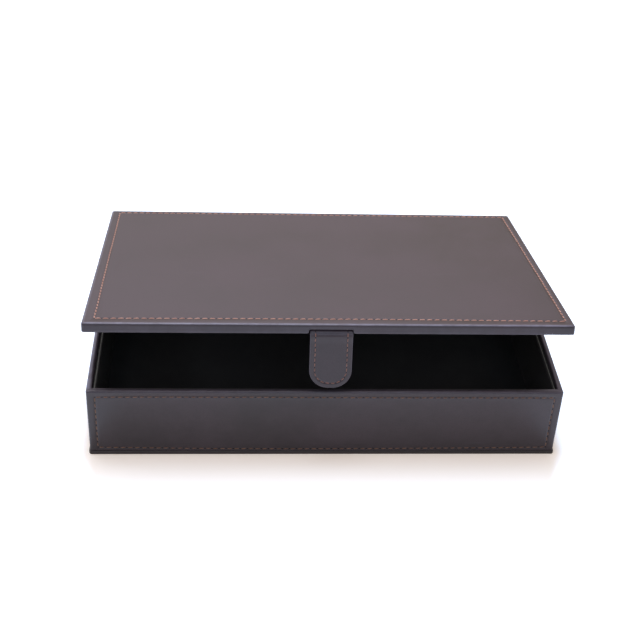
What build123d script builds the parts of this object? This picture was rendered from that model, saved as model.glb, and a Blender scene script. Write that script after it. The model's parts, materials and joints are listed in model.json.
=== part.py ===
from build123d import *
import os

# A gift box of leather-covered board with a hinged lid and a closing tab, in millimetres.
# It stands on Z = 0 with its front towards -Y. The origin is the middle of its footprint.
# Every piece of the lid and the tab is drawn with the lid shut, and then swung open.

# Outer sizes of the box
BOX_WIDTH = 330.0
BOX_DEPTH = 228.0
RIM_HEIGHT = 56.0
UPRIGHT_CORNER = 1.6

# Walls: a board between an outer sheet of leather and its turn-in
WALL_LEATHER = 0.8
WALL_BOARD = 2.4
TURN_IN_DEPTH = 14.0
RIM_ROUNDING = 1.5

# Base panel, which stands a little proud of the walls
BASE_PROUD = 0.7
BASE_LEATHER = 0.5
BASE_BOARD = 1.8
BASE_ROUNDING = 0.8

# Flocked lining
FLOOR_CARD = 2.0
LINER_CARD = 1.6
FLOCK = 0.6
LINER_CLEARANCE = 0.3
LINER_BELOW_RIM = 2.0
FLOCK_ROUNDING = 0.4

# Stitched thread
THREAD_WIDTH = 0.9
THREAD_SUNK = 0.3
THREAD_PROUD = 0.2
WALL_SEAM_INSET = 5.8
WALL_SEAM_BELOW_RIM = 4.8
WALL_SEAM_ABOVE_BASE = 2.4

# Lid
LID_OPEN_DEGREES = 11.8
LID_THICKNESS = 6.8
LID_OVERHANG = 3.0
LID_GAP = 0.6
LID_LEATHER = 0.8
LID_CORNER = 1.8
LID_ROUNDING = 1.4
LID_TURN_IN = 30.0
LID_SEAM_LEFT = 7.3
LID_SEAM_RIGHT = 5.3
LID_SEAM_FRONT = 8.7
LID_SEAM_BACK = 5.0
LINING_CARD = 1.0
LINING_CLEARANCE = 2.0
FOLD_CLEARANCE = 0.1

# Closing tab and the strap that carries it
TAB_WIDTH = 29.0
TAB_LENGTH = 41.3
TAB_END_RADIUS = 13.0
TAB_LEATHER = 0.6
TAB_CORE = 0.9
TAB_CORE_INSET = 1.5
TAB_NECK = 1.5
TAB_CLEARANCE = 0.4
TAB_SEAM_INSET = 3.6
STRAP_REACH = 26.0
STRAP_CLEARANCE = 0.3
NOTCH_HEIGHT = 3.2
NOTCH_MOUTH = 4.0
NOTCH_CLEARANCE = 0.4

# Hidden magnets of the catch
MAGNET_DIAMETER = 12.0
MAGNET_ABOVE_TAB_END = 13.0
WALL_MAGNET_THICKNESS = 1.6

# How far a cutting shape runs past what it cuts, and how wide the band of a mitre is
CUT_MARGIN = 1.0
MITRE_BAND = 12.0

# Worked out from the sizes above
WALL = 2 * WALL_LEATHER + WALL_BOARD
BASE_TOP = 2 * BASE_LEATHER + BASE_BOARD
FLOOR_TOP = BASE_LEATHER + BASE_BOARD + FLOOR_CARD + FLOCK
LINER = LINER_CARD + FLOCK
LINER_INSET = WALL + LINER_CLEARANCE
LINER_TOP = RIM_HEIGHT - LINER_BELOW_RIM
HINGE_Y = BOX_DEPTH / 2
HINGE_Z = RIM_HEIGHT + LID_GAP / 2
LID_UNDERSIDE = RIM_HEIGHT + LID_GAP
LID_TOP = LID_UNDERSIDE + LID_THICKNESS
LID_FRONT = -(BOX_DEPTH / 2 + LID_OVERHANG)
LID_BACK = BOX_DEPTH / 2
TAB_THICKNESS = 2 * TAB_LEATHER + TAB_CORE
TAB_BACK_Y = -(BOX_DEPTH / 2 + TAB_CLEARANCE)
TAB_FRONT_Y = TAB_BACK_Y - TAB_THICKNESS
TAB_AXIS_Y = TAB_BACK_Y - TAB_THICKNESS / 2
TAB_AXIS_Z = LID_UNDERSIDE + TAB_THICKNESS / 2
TAB_END_Z = LID_UNDERSIDE - TAB_LENGTH
MAGNET_Z = TAB_END_Z + MAGNET_ABOVE_TAB_END

# The walls, each a quarter turn on from the one before
SIDES = ("front", "right", "back", "left")
QUARTER_TURN_DEGREES = 90
LONG_SIDES = ("front", "back")

# The largest corner of the tab's round end, as a share of its width
LARGEST_CORNER_SHARE = 0.49


def wall(side):
    """A wall's length, its distance from the middle, and the turn from the front wall to it."""
    turn = QUARTER_TURN_DEGREES * SIDES.index(side)
    if side in LONG_SIDES:
        return BOX_WIDTH, BOX_DEPTH / 2, turn
    return BOX_DEPTH, BOX_WIDTH / 2, turn


def span(x_low, x_high, y_low, y_high, z_low, z_high):
    """A block between two corners."""
    block = Box(x_high - x_low, y_high - y_low, z_high - z_low)
    return Pos((x_low + x_high) / 2, (y_low + y_high) / 2, (z_low + z_high) / 2) * block


def footprint(inset, z_low, z_high):
    """A block over the box's footprint, drawn in by an inset."""
    half_x, half_y = BOX_WIDTH / 2 - inset, BOX_DEPTH / 2 - inset
    return span(-half_x, half_x, -half_y, half_y, z_low, z_high)


def rounded(width, depth, z_low, z_high, corner, top_rounding):
    """A block about the Z axis with rounded upright corners and a rounded top edge."""
    body = Pos(0, 0, z_low) * extrude(RectangleRounded(width, depth, corner), z_high - z_low)
    if top_rounding > 0:
        body = fillet(body.edges().group_by(Axis.Z)[-1], top_rounding)
    return body


def ring(outer_inset, inner_inset, z_low, z_high):
    """An upright ring that follows the walls, between two insets from their outer faces."""
    return footprint(outer_inset, z_low, z_high) - footprint(inner_inset, z_low, z_high)


def mitred(whole, side):
    """One wall's share of a ring, cut at 45 degrees where it meets its neighbours."""
    length, distance, turn = wall(side)
    far_x, far_y = length / 2 + CUT_MARGIN, distance + CUT_MARGIN
    near_x, near_y = far_x - MITRE_BAND, far_y - MITRE_BAND
    corners = [(-far_x, -far_y), (far_x, -far_y), (near_x, -near_y), (-near_x, -near_y)]
    wedge = extrude(make_face(Polyline(*corners, close=True)), LID_TOP)
    return whole & (Rot(0, 0, turn) * wedge)


def base_board():
    grow = BASE_PROUD - BASE_LEATHER
    return footprint(-grow, BASE_LEATHER, BASE_LEATHER + BASE_BOARD)


def base_cover():
    """Leather under the base panel, round its edge and turned in under the walls."""
    width, depth = BOX_WIDTH + 2 * BASE_PROUD, BOX_DEPTH + 2 * BASE_PROUD
    body = rounded(width, depth, 0, BASE_TOP, UPRIGHT_CORNER + BASE_PROUD, BASE_ROUNDING)
    body = fillet(body.edges().group_by(Axis.Z)[0], BASE_ROUNDING)
    return body - base_board() - footprint(WALL, BASE_TOP - BASE_LEATHER, BASE_TOP)


def wall_board(side):
    """The front and back boards run full width, and the side boards stand between them."""
    length, distance, turn = wall(side)
    shorter_by = WALL_LEATHER if side in LONG_SIDES else WALL_LEATHER + WALL_BOARD
    half = length / 2 - shorter_by
    outer = -(distance - WALL_LEATHER)
    board = span(-half, half, outer, outer + WALL_BOARD, BASE_TOP, RIM_HEIGHT - WALL_LEATHER)
    return Rot(0, 0, turn) * board


def wall_magnet():
    """A disc let into the front board behind its leather, where the shut tab's magnet lies."""
    face = Plane(origin=(0, -(BOX_DEPTH / 2 - WALL_LEATHER), MAGNET_Z), z_dir=(0, 1, 0))
    return face * extrude(Circle(MAGNET_DIAMETER / 2), WALL_MAGNET_THICKNESS)


def wall_seam(side):
    """The thread round one wall's outer face."""
    length, distance, turn = wall(side)
    z_low, z_high = BASE_TOP + WALL_SEAM_ABOVE_BASE, RIM_HEIGHT - WALL_SEAM_BELOW_RIM
    wide, high = length - 2 * WALL_SEAM_INSET, z_high - z_low
    face = Plane(origin=(0, THREAD_SUNK - distance, (z_low + z_high) / 2), x_dir=(1, 0, 0), z_dir=(0, -1, 0))
    return Rot(0, 0, turn) * (face * thread_frame(wide, high))


def thread_frame(wide, high):
    """A rectangle of thread, measured along its middle line, as thick as it is sunk and proud."""
    outline = Rectangle(wide + THREAD_WIDTH, high + THREAD_WIDTH)
    outline -= Rectangle(wide - THREAD_WIDTH, high - THREAD_WIDTH)
    return extrude(outline, THREAD_SUNK + THREAD_PROUD)


def wall_sleeve(rim_rounding):
    """The leather of all four walls: outside, over the rim and turned in."""
    sleeve = rounded(BOX_WIDTH, BOX_DEPTH, BASE_TOP, RIM_HEIGHT, UPRIGHT_CORNER, rim_rounding)
    sleeve -= footprint(WALL_LEATHER, BASE_TOP, RIM_HEIGHT - WALL_LEATHER)
    sleeve -= footprint(WALL, BASE_TOP, RIM_HEIGHT)
    turned_in = ring(WALL - WALL_LEATHER, WALL, RIM_HEIGHT - TURN_IN_DEPTH, RIM_HEIGHT - WALL_LEATHER)
    return sleeve + turned_in


def wall_leather(side):
    """One wall's leather. The back one keeps a square rim, where the hinge fold rises from it."""
    rim_rounding = 0 if side == "back" else RIM_ROUNDING
    return mitred(wall_sleeve(rim_rounding), side) - wall_seam(side)


def floor_layer(z_low, thickness):
    return footprint(LINER_INSET, z_low, z_low + thickness)


def liner_card(side):
    cards = ring(LINER_INSET, LINER_INSET + LINER_CARD, FLOOR_TOP, LINER_TOP - FLOCK)
    return mitred(cards, side)


def liner_flock(side):
    """The flock on one liner's inner face and over its top edge."""
    padded = ring(LINER_INSET, LINER_INSET + LINER, FLOOR_TOP, LINER_TOP)
    padded = fillet(padded.edges().group_by(Axis.Z)[-1], FLOCK_ROUNDING)
    cards = ring(LINER_INSET, LINER_INSET + LINER_CARD, FLOOR_TOP, LINER_TOP - FLOCK)
    return mitred(padded - cards, side)


def hinge_fold():
    """The free strip of leather between the back wall and the lid, on which the lid swings."""
    half = BOX_WIDTH / 2 - LID_CORNER
    top = RIM_HEIGHT + LID_GAP - FOLD_CLEARANCE
    return span(-half, half, HINGE_Y - WALL_LEATHER, HINGE_Y, RIM_HEIGHT, top)


def notch(grow):
    """The recess in the lid's front edge for the strap. The board's is larger by the leather."""
    half = TAB_WIDTH / 2 + NOTCH_CLEARANCE + grow
    front, under = LID_FRONT - CUT_MARGIN, LID_UNDERSIDE - CUT_MARGIN
    mouth_back = LID_FRONT + NOTCH_MOUTH + grow
    channel_back = LID_FRONT + STRAP_REACH + STRAP_CLEARANCE + grow
    mouth = span(-half, half, front, mouth_back, under, LID_UNDERSIDE + NOTCH_HEIGHT + grow)
    channel = span(-half, half, front, channel_back, under, LID_UNDERSIDE + TAB_THICKNESS + grow)
    return mouth + channel


def lid_window(z_low, z_high):
    """The part of the lid's underside that its turned-in leather leaves open."""
    half = BOX_WIDTH / 2 - LID_TURN_IN
    return span(-half, half, LID_FRONT + LID_TURN_IN, LID_BACK - LID_TURN_IN, z_low, z_high)


def lid_board():
    half = BOX_WIDTH / 2 - LID_LEATHER
    front, back = LID_FRONT + LID_LEATHER, LID_BACK - LID_LEATHER
    board = span(-half, half, front, back, LID_UNDERSIDE + LID_LEATHER, LID_TOP - LID_LEATHER)
    return board - notch(LID_LEATHER)


def lid_leather():
    """Leather over the lid's top and edges, turned in below and into the strap's recess."""
    depth = LID_BACK - LID_FRONT
    cover = rounded(BOX_WIDTH, depth, LID_UNDERSIDE, LID_TOP, LID_CORNER, LID_ROUNDING)
    cover = Pos(0, (LID_FRONT + LID_BACK) / 2, 0) * cover
    window = lid_window(LID_UNDERSIDE, LID_UNDERSIDE + LID_LEATHER)
    return cover - lid_board() - window - notch(0) - lid_seam()


def lid_seam():
    """The thread round the lid's top, set in a little unevenly from the lid's four edges."""
    x_low, x_high = LID_SEAM_LEFT - BOX_WIDTH / 2, BOX_WIDTH / 2 - LID_SEAM_RIGHT
    y_low, y_high = LID_FRONT + LID_SEAM_FRONT, LID_BACK - LID_SEAM_BACK
    frame = thread_frame(x_high - x_low, y_high - y_low)
    return Pos((x_low + x_high) / 2, (y_low + y_high) / 2, LID_TOP - THREAD_SUNK) * frame


def lid_filler():
    """The card that levels the lid's underside between the turned-in leather."""
    return lid_window(LID_UNDERSIDE, LID_UNDERSIDE + LID_LEATHER)


def lid_lining_card():
    inset = WALL + LINING_CLEARANCE + FLOCK
    return footprint(inset, LID_UNDERSIDE - LINING_CARD, LID_UNDERSIDE)


def lid_lining_flock():
    """The flock under and round the card that lines the lid."""
    inset = WALL + LINING_CLEARANCE
    return footprint(inset, LID_UNDERSIDE - LINING_CARD - FLOCK, LID_UNDERSIDE) - lid_lining_card()


def tab_strap():
    """The strap in the lid's recess, from the tab's bend back under the board."""
    half = TAB_WIDTH / 2
    front = TAB_BACK_Y + STRAP_CLEARANCE
    return span(-half, half, front, LID_FRONT + STRAP_REACH, LID_UNDERSIDE, LID_UNDERSIDE + TAB_THICKNESS)


def tab_layer(inset, top, back_y, thickness):
    """A layer of the tab with a round end, drawn in by an inset, from back_y towards the front."""
    wide, high = TAB_WIDTH - 2 * inset, top - TAB_END_Z - inset
    outline = Rectangle(wide, high)
    corner = min(TAB_END_RADIUS - inset, wide * LARGEST_CORNER_SHARE)
    outline = fillet(outline.vertices().group_by(Axis.Y)[0], corner)
    face = Plane(origin=(0, back_y, top - high / 2), x_dir=(1, 0, 0), z_dir=(0, -1, 0))
    return face * extrude(outline, thickness)


def tab_pocket():
    return tab_layer(TAB_CORE_INSET, TAB_AXIS_Z - TAB_NECK, TAB_BACK_Y - TAB_LEATHER, TAB_CORE)


def tab_magnet():
    face = Plane(origin=(0, TAB_BACK_Y - TAB_LEATHER, MAGNET_Z), z_dir=(0, -1, 0))
    return face * extrude(Circle(MAGNET_DIAMETER / 2), TAB_CORE)


def tab_front_leather():
    """The tab's front, with a pocket for the stiffener and a round head that turns at the bend."""
    front = tab_layer(0, TAB_AXIS_Z, TAB_BACK_Y - TAB_LEATHER, TAB_THICKNESS - TAB_LEATHER) - tab_pocket()
    half = TAB_WIDTH / 2
    neck = span(-half, half, TAB_FRONT_Y, TAB_BACK_Y, TAB_AXIS_Z - TAB_NECK, TAB_AXIS_Z)
    bend = Plane(origin=(-half, TAB_AXIS_Y, TAB_AXIS_Z), z_dir=(1, 0, 0))
    head = bend * extrude(Circle(TAB_THICKNESS / 2), TAB_WIDTH)
    return front + neck + head - tab_seam()


def tab_back_leather():
    return tab_layer(0, TAB_AXIS_Z - TAB_NECK, TAB_BACK_Y, TAB_LEATHER)


def tab_seam():
    """The thread down both sides of the tab and round its end."""
    back_y, thick = TAB_FRONT_Y + THREAD_SUNK, THREAD_SUNK + THREAD_PROUD
    outer = tab_layer(TAB_SEAM_INSET - THREAD_WIDTH / 2, TAB_AXIS_Z, back_y, thick)
    inner = tab_layer(TAB_SEAM_INSET + THREAD_WIDTH / 2, TAB_AXIS_Z, back_y, thick)
    return outer - inner


def box_pieces():
    """Everything that stays on the table."""
    pieces = {"base_board": base_board(), "base_cover": base_cover()}
    for side in SIDES:
        pieces[side + "_board"] = wall_board(side)
        pieces[side + "_leather"] = wall_leather(side)
        pieces[side + "_seam"] = wall_seam(side)
        pieces[side + "_liner_card"] = liner_card(side)
        pieces[side + "_liner_flock"] = liner_flock(side)
    pieces["front_board"] -= wall_magnet()
    pieces["wall_magnet"] = wall_magnet()
    pieces["floor_card"] = floor_layer(BASE_LEATHER + BASE_BOARD, FLOOR_CARD)
    pieces["floor_flock"] = floor_layer(BASE_LEATHER + BASE_BOARD + FLOOR_CARD, FLOCK)
    pieces["hinge_fold"] = hinge_fold()
    return pieces


def lid_pieces():
    """Everything that swings with the lid, drawn shut, the tab included."""
    return {
        "lid_board": lid_board(),
        "lid_leather": lid_leather(),
        "lid_seam": lid_seam(),
        "lid_filler_card": lid_filler(),
        "lid_lining_card": lid_lining_card(),
        "lid_lining_flock": lid_lining_flock(),
        "tab_strap": tab_strap(),
        "tab_front_leather": tab_front_leather(),
        "tab_back_leather": tab_back_leather(),
        "tab_stiffener": tab_pocket() - tab_magnet(),
        "tab_magnet": tab_magnet(),
        "tab_seam": tab_seam(),
    }


def swung_open(piece):
    return piece.rotate(Axis((0, HINGE_Y, HINGE_Z), (-1, 0, 0)), LID_OPEN_DEGREES)


def main():
    pieces = box_pieces()
    pieces.update({name: swung_open(piece) for name, piece in lid_pieces().items()})
    os.makedirs("parts", exist_ok=True)
    for name, piece in pieces.items():
        export_step(piece, f"parts/{name}.step")


main()
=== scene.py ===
"""Dresses a leather gift box for papers and keepsakes, with a hinged lid and a closing tab."""
import json
import logging
import math
import random
from collections.abc import Callable
from dataclasses import dataclass, field
from enum import Enum

import bmesh
import bpy
from mathutils import Matrix, Vector


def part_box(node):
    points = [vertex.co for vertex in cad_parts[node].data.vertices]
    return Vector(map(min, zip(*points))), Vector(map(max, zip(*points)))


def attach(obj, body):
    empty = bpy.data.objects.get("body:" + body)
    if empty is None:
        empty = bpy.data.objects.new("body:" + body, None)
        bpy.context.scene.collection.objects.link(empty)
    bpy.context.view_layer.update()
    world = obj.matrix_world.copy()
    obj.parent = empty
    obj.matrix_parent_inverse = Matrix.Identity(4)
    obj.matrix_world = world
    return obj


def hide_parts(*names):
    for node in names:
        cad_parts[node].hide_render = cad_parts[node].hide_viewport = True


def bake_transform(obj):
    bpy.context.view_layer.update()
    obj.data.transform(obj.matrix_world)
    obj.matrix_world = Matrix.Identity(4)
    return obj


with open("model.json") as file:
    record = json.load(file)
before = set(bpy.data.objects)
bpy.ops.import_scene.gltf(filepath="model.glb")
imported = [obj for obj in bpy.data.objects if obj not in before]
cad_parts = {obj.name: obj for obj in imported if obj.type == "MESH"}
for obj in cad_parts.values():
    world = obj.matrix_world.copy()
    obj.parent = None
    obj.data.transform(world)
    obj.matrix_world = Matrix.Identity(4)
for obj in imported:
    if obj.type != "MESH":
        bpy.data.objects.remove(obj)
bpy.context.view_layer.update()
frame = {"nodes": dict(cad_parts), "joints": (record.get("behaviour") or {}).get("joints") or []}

LOG = logging.getLogger("gift_box")
MM = 0.001
SEED = 11
SMOOTH_UNDER = math.radians(38.0)
SAME_POINT = 0.002 * MM
NO_LENGTH = 0.001 * MM

Spot = tuple[float, float]
Point = tuple[float, float, float]
Colour = tuple[float, float, float]
Lay = Callable[[float, float, float], Point]
Node = bpy.types.Node
Outputs = bpy.types.NodeOutputs
Socket = bpy.types.NodeSocket
Piece = bpy.types.Object
Material = bpy.types.Material

# The places of the mesh rows and columns about a row of stitches.
SEAM_STEPS = (-1.8, -1.2, -0.9, -0.6, -0.3, 0.0, 0.3, 0.6, 0.9, 1.2, 1.8)
# How far evenly spaced columns reach on each side of the middle, across and along a piece.
EVEN_REACH = (150, 100)
# The length, the shift from row to row and the share of each wave in a row sewn by hand.
HAND_WAVES = ((37.0, 1.7, 0.7), (11.0, 2.9, 0.3))


def from_srgb(red: int, green: int, blue: int) -> Colour:
    """Turns a colour as a screen shows it, in shares of 255, into the linear one that a shader takes."""
    shares = (red / 255.0, green / 255.0, blue / 255.0)
    return tuple(s / 12.92 if s <= 0.04045 else ((s + 0.055) / 1.055) ** 2.4 for s in shares)


def smooth(low: float, high: float, value: float) -> float:
    """Rises softly from 0 at low to 1 at high."""
    share = min(max((value - low) / (high - low), 0.0), 1.0)
    return share * share * (3.0 - 2.0 * share)


def arc(radius: float, steps: int) -> list[Spot]:
    """Gives a quarter round, as how far in from one face and short of the next each point lies."""
    turns = [math.pi / 2 * step / steps for step in range(steps + 1)]
    return [(radius * (1 - math.cos(turn)), radius * (1 - math.sin(turn))) for turn in turns]


def bell(place: float, middle: float, width: float) -> float:
    """Gives the height at a place of a soft bump, which is 1 at its middle."""
    return math.exp(-(((place - middle) / width) ** 2))


def near(place: float, steps: tuple[float, ...]) -> list[float]:
    """Gives places close about one place."""
    return [place + step for step in steps]


class Side(Enum):
    """The four walls, by the way they face."""

    FRONT = "front"
    RIGHT = "right"
    BACK = "back"
    LEFT = "left"

    @property
    def across(self) -> tuple[int, int]:
        """The way to the right along the wall, for someone who faces it from outside."""
        return {"front": (1, 0), "right": (0, 1), "back": (-1, 0), "left": (0, -1)}[self.value]

    @property
    def outward(self) -> tuple[int, int]:
        """The way that the wall faces."""
        return (self.across[1], -self.across[0])


# Each side's share of lighter edge colour, part chafing and part a painted highlight where light falls. None
# stands for the corners.
LID_CHAFE_AND_GLINT = {Side.FRONT: 0.72, Side.LEFT: 0.6, Side.RIGHT: 0.15, Side.BACK: 0.15, None: 0.5}
RIM_CHAFE_AND_GLINT = {Side.FRONT: 0.12, Side.LEFT: 0.8, Side.RIGHT: 0.12, Side.BACK: 0.08, None: 0.2}


class LidHinge:
    """Where the lid turns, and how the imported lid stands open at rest."""

    def __init__(self) -> None:
        """Reads the hinge from the frame."""
        joint = next(j for j in frame["joints"] if j["name"] == "lid_hinge")
        self.centre = Vector(joint["pos_m"]) / MM
        self.axis = Vector(joint["axis"])
        self.rest = math.radians(-joint["range_deg"][0])

    def opening(self) -> Matrix:
        """Gives the turn, in millimetres, that takes a point of the shut lid to its place at rest."""
        turn = Matrix.Rotation(self.rest, 4, self.axis)
        return Matrix.Translation(self.centre) @ turn @ Matrix.Translation(-self.centre)

    def shut_box(self, node: str) -> tuple[Vector, Vector]:
        """Measures a node of the lid or tab as it lies when the lid is shut.

        Args:
            node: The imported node's name.

        Returns:
            Its lowest and highest corners in millimetres.
        """
        shut = self.opening().inverted()
        points = [shut @ (vertex.co / MM) for vertex in frame["nodes"][node].data.vertices]
        low = Vector([min(p[i] for p in points) for i in range(3)])
        high = Vector([max(p[i] for p in points) for i in range(3)])
        return low, high


def node_box(node: str) -> tuple[Vector, Vector]:
    """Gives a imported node's lowest and highest corners at rest, in millimetres."""
    low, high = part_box(node)
    return Vector(low) / MM, Vector(high) / MM


@dataclass(frozen=True)
class Rectangle:
    """A rectangle seen from above, in millimetres, with rounded corners."""

    left: float
    right: float
    front: float
    back: float
    corner: float = 0.0

    def inset(self, by: float, corner: float | None = None) -> "Rectangle":
        """Draws the rectangle in, with a new corner radius or what the inset leaves of the old one."""
        left_over = max(self.corner - by, 0.0) if corner is None else corner
        return Rectangle(self.left + by, self.right - by, self.front + by, self.back - by, left_over)

    def shrunk(self, share: float) -> "Rectangle":
        """Draws the rectangle together about its middle.

        Args:
            share: The share of its size that is left.

        Returns:
            The smaller rectangle, with square corners.
        """
        middle_x, middle_y = (self.left + self.right) / 2, (self.front + self.back) / 2
        half_x, half_y = (self.right - self.left) / 2 * share, (self.back - self.front) / 2 * share
        return Rectangle(middle_x - half_x, middle_x + half_x, middle_y - half_y, middle_y + half_y)


def standing_ring(kind: str, corner: float = 0.0) -> tuple[Rectangle, Spot, float]:
    """Measures four packed walls that stand round the box.

    Args:
        kind: What their nodes' names end in.
        corner: The ring's corner radius.

    Returns:
        The ring's outline, the heights of its foot and top, and its thickness.
    """
    front, right, back, left = (node_box(f"{side.value}_{kind}") for side in Side)
    outline = Rectangle(left[0].x, right[1].x, front[0].y, back[1].y, corner)
    return outline, (front[0].z, front[1].z), front[1].y - front[0].y


@dataclass(frozen=True)
class Swell:
    """The slight swell of flock glued over a wide panel."""

    height: float
    lengths: Spot
    starts: Spot

    def at(self, x: float, y: float) -> float:
        """Gives how far the panel stands out at a place."""
        across = math.sin(x / self.lengths[0] + self.starts[0])
        return self.height * across * math.sin(y / self.lengths[1] + self.starts[1])


@dataclass(frozen=True)
class Station:
    """One column of a ring that goes round a piece."""

    x: float
    y: float
    side: Side | None = None

    @property
    def along(self) -> float:
        """How far the column stands to the right of its wall's middle."""
        across = self.side.across
        return self.x * across[0] + self.y * across[1]


@dataclass(frozen=True)
class RingPlan:
    """The columns that all the rings of one piece share."""

    outline: Rectangle
    across: tuple[float, ...]
    along: tuple[float, ...]
    kept: float = 0.0
    corner_steps: int = 6

    @classmethod
    def even(cls, outline: Rectangle, step: int) -> "RingPlan":
        """Spaces the columns evenly on both sides of the middle, with millimetres for a step."""
        across, along = EVEN_REACH
        return cls(outline, tuple(range(-across, across + 1, step)), tuple(range(-along, along + 1, step)))

    def stations(self, ring: Rectangle) -> list[Station]:
        """Places the columns on one ring, counter-clockwise from the front's left end.

        Args:
            ring: The ring's own rectangle.

        Returns:
            The columns, corners among them.
        """
        whole, radius = self.outline, ring.corner
        sides, ends = (whole.left, whole.right), (whole.front, whole.back)
        xs = [self.carried(x, self.kept, sides, (ring.left, ring.right), radius) for x in self.across]
        ys = [self.carried(y, 0.0, ends, (ring.front, ring.back), radius) for y in self.along]
        left, right = ring.left + radius, ring.right - radius
        front, back = ring.front + radius, ring.back - radius
        found = [Station(x, ring.front, Side.FRONT) for x in xs]
        found += self.corner(right, front, -90.0, radius)
        found += [Station(ring.right, y, Side.RIGHT) for y in ys]
        found += self.corner(right, back, 0.0, radius)
        found += [Station(x, ring.back, Side.BACK) for x in reversed(xs)]
        found += self.corner(left, back, 90.0, radius)
        found += [Station(ring.left, y, Side.LEFT) for y in reversed(ys)]
        found += self.corner(left, front, 180.0, radius)
        return found

    def carried(self, place: float, kept: float, old: Spot, new: Spot, radius: float) -> float:
        """Moves a column from the outline to a ring of another size.

        Args:
            place: The column's place on the outline.
            kept: How far from zero places stay as they are.
            old: The outline's low and high ends.
            new: The ring's low and high ends.
            radius: The ring's corner radius.

        Returns:
            The column's place on the ring.
        """
        if abs(place) <= kept:
            return place
        way, end, new_end = (1.0, old[1], new[1]) if place > 0 else (-1.0, -old[0], -new[0])
        share = (abs(place) - kept) / (end - self.outline.corner - kept)
        return way * (kept + share * (new_end - radius - kept))

    def corner(self, x: float, y: float, start: float, radius: float) -> list[Station]:
        """Places the columns round one corner.

        Args:
            x: The corner round's centre across the box.
            y: The corner round's centre from front to back.
            start: The angle where the round starts, in degrees.
            radius: The round's radius.

        Returns:
            The corner's columns.
        """
        steps = range(self.corner_steps + 1)
        turns = [math.radians(start + 90.0 * step / self.corner_steps) for step in steps]
        return [Station(x + radius * math.cos(turn), y + radius * math.sin(turn)) for turn in turns]


class Skin:
    """A piece's surface while it is being made, in millimetres."""

    def __init__(self) -> None:
        """Starts an empty surface."""
        self.points: list[Point] = []
        # How much lighter edge colour each point takes, part chafing and part a painted highlight.
        self.rub: list[float] = []
        self.faces: list[tuple[int, ...]] = []
        self.finish: list[int] = []

    def row(self, points: list[Point], rub: float | list[float] = 0.0) -> list[int]:
        """Adds a row of points.

        Args:
            points: The row's points.
            rub: How much of an edge the row or each point is, from 0 on a face to 1 on an edge.

        Returns:
            The numbers of the row's points.
        """
        first = len(self.points)
        self.points += points
        self.rub += rub if isinstance(rub, list) else [rub] * len(points)
        return list(range(first, len(self.points)))

    def level(self, plan: RingPlan, ring: Rectangle, height: float, rub: float = 0.0) -> list[int]:
        """Adds a level ring and gives the numbers of its points."""
        return self.row([(s.x, s.y, height) for s in plan.stations(ring)], rub)

    def swollen(
        self, plan: RingPlan, shares: tuple[float, ...], height: float, swell: Swell
    ) -> list[list[int]]:
        """Adds rings that draw together over a panel, with its slight swell.

        Args:
            plan: The panel's columns.
            shares: The share of the panel's size that each ring has.
            height: How high the panel is.
            swell: Its swell.

        Returns:
            The numbers of each ring's points.
        """
        rows = []
        for share in shares:
            ring = plan.stations(plan.outline.shrunk(share))
            rows.append(self.row([(s.x, s.y, height + swell.at(s.x, s.y) * (1.0 - share)) for s in ring]))
        return rows

    def face(self, corners: list[int], finish: int = 0) -> None:
        """Adds one face, by the numbers of its points in order and the number of its finish."""
        self.faces.append(tuple(corners))
        self.finish.append(finish)

    def bridge(self, first: list[int], second: list[int], closed: bool = True, finish: int = 0) -> None:
        """Joins two rows that have as many points.

        Args:
            first: The first row.
            second: The second row.
            closed: Whether the rows run round and join up.
            finish: Which of the piece's finishes the faces have.
        """
        count = len(first)
        for i in range(count if closed else count - 1):
            j = (i + 1) % count
            self.face([first[i], first[j], second[j], second[i]], finish)

    def loft(
        self, rows: list[list[int]], looped: bool = False, closed: bool = True, finish: int = 0
    ) -> None:
        """Joins each row to the next.

        Args:
            rows: The rows, in order.
            looped: Whether the last row joins the first.
            closed: Whether each row runs round and joins up.
            finish: Which of the piece's finishes the faces have.
        """
        following = rows[1:] + rows[:1] if looped else rows[1:]
        for first, second in zip(rows, following):
            self.bridge(first, second, closed, finish)

    def build(self, name: str, finishes: list[Material], placed: Matrix | None = None) -> Piece:
        """Makes the Blender object, in metres.

        Args:
            name: The object's name.
            finishes: Its materials, in the order that the faces number them.
            placed: A turn in millimetres for all its points, or None.

        Returns:
            The new object.
        """
        made = bmesh.new()
        rub = made.verts.layers.float.new("rub")
        move = placed or Matrix.Identity(4)
        corners = []
        for point, share in zip(self.points, self.rub):
            vertex = made.verts.new((move @ Vector(point)) * MM)
            vertex[rub] = share
            corners.append(vertex)
        for numbers, finish in zip(self.faces, self.finish):
            new = made.faces.new([corners[n] for n in numbers])
            new.material_index = finish
            new.smooth = True
        bmesh.ops.remove_doubles(made, verts=made.verts, dist=SAME_POINT)
        bmesh.ops.dissolve_degenerate(made, edges=made.edges, dist=NO_LENGTH)
        bmesh.ops.recalc_face_normals(made, faces=made.faces)
        mesh = bpy.data.meshes.new(name)
        made.to_mesh(mesh)
        made.free()
        mesh.set_sharp_from_angle(angle=SMOOTH_UNDER)
        for finish in finishes:
            mesh.materials.append(finish)
        piece = bpy.data.objects.new(name, mesh)
        bpy.context.scene.collection.objects.link(piece)
        return piece


def dress(piece: Piece, body: str, nodes: list[str]) -> None:
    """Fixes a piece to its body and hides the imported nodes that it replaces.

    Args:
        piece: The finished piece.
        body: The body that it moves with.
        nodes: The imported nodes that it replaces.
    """
    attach(piece, body)
    if nodes:
        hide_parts(*nodes)
    LOG.info("%s rides on %s with %d points", piece.name, body, len(piece.data.vertices))


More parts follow.
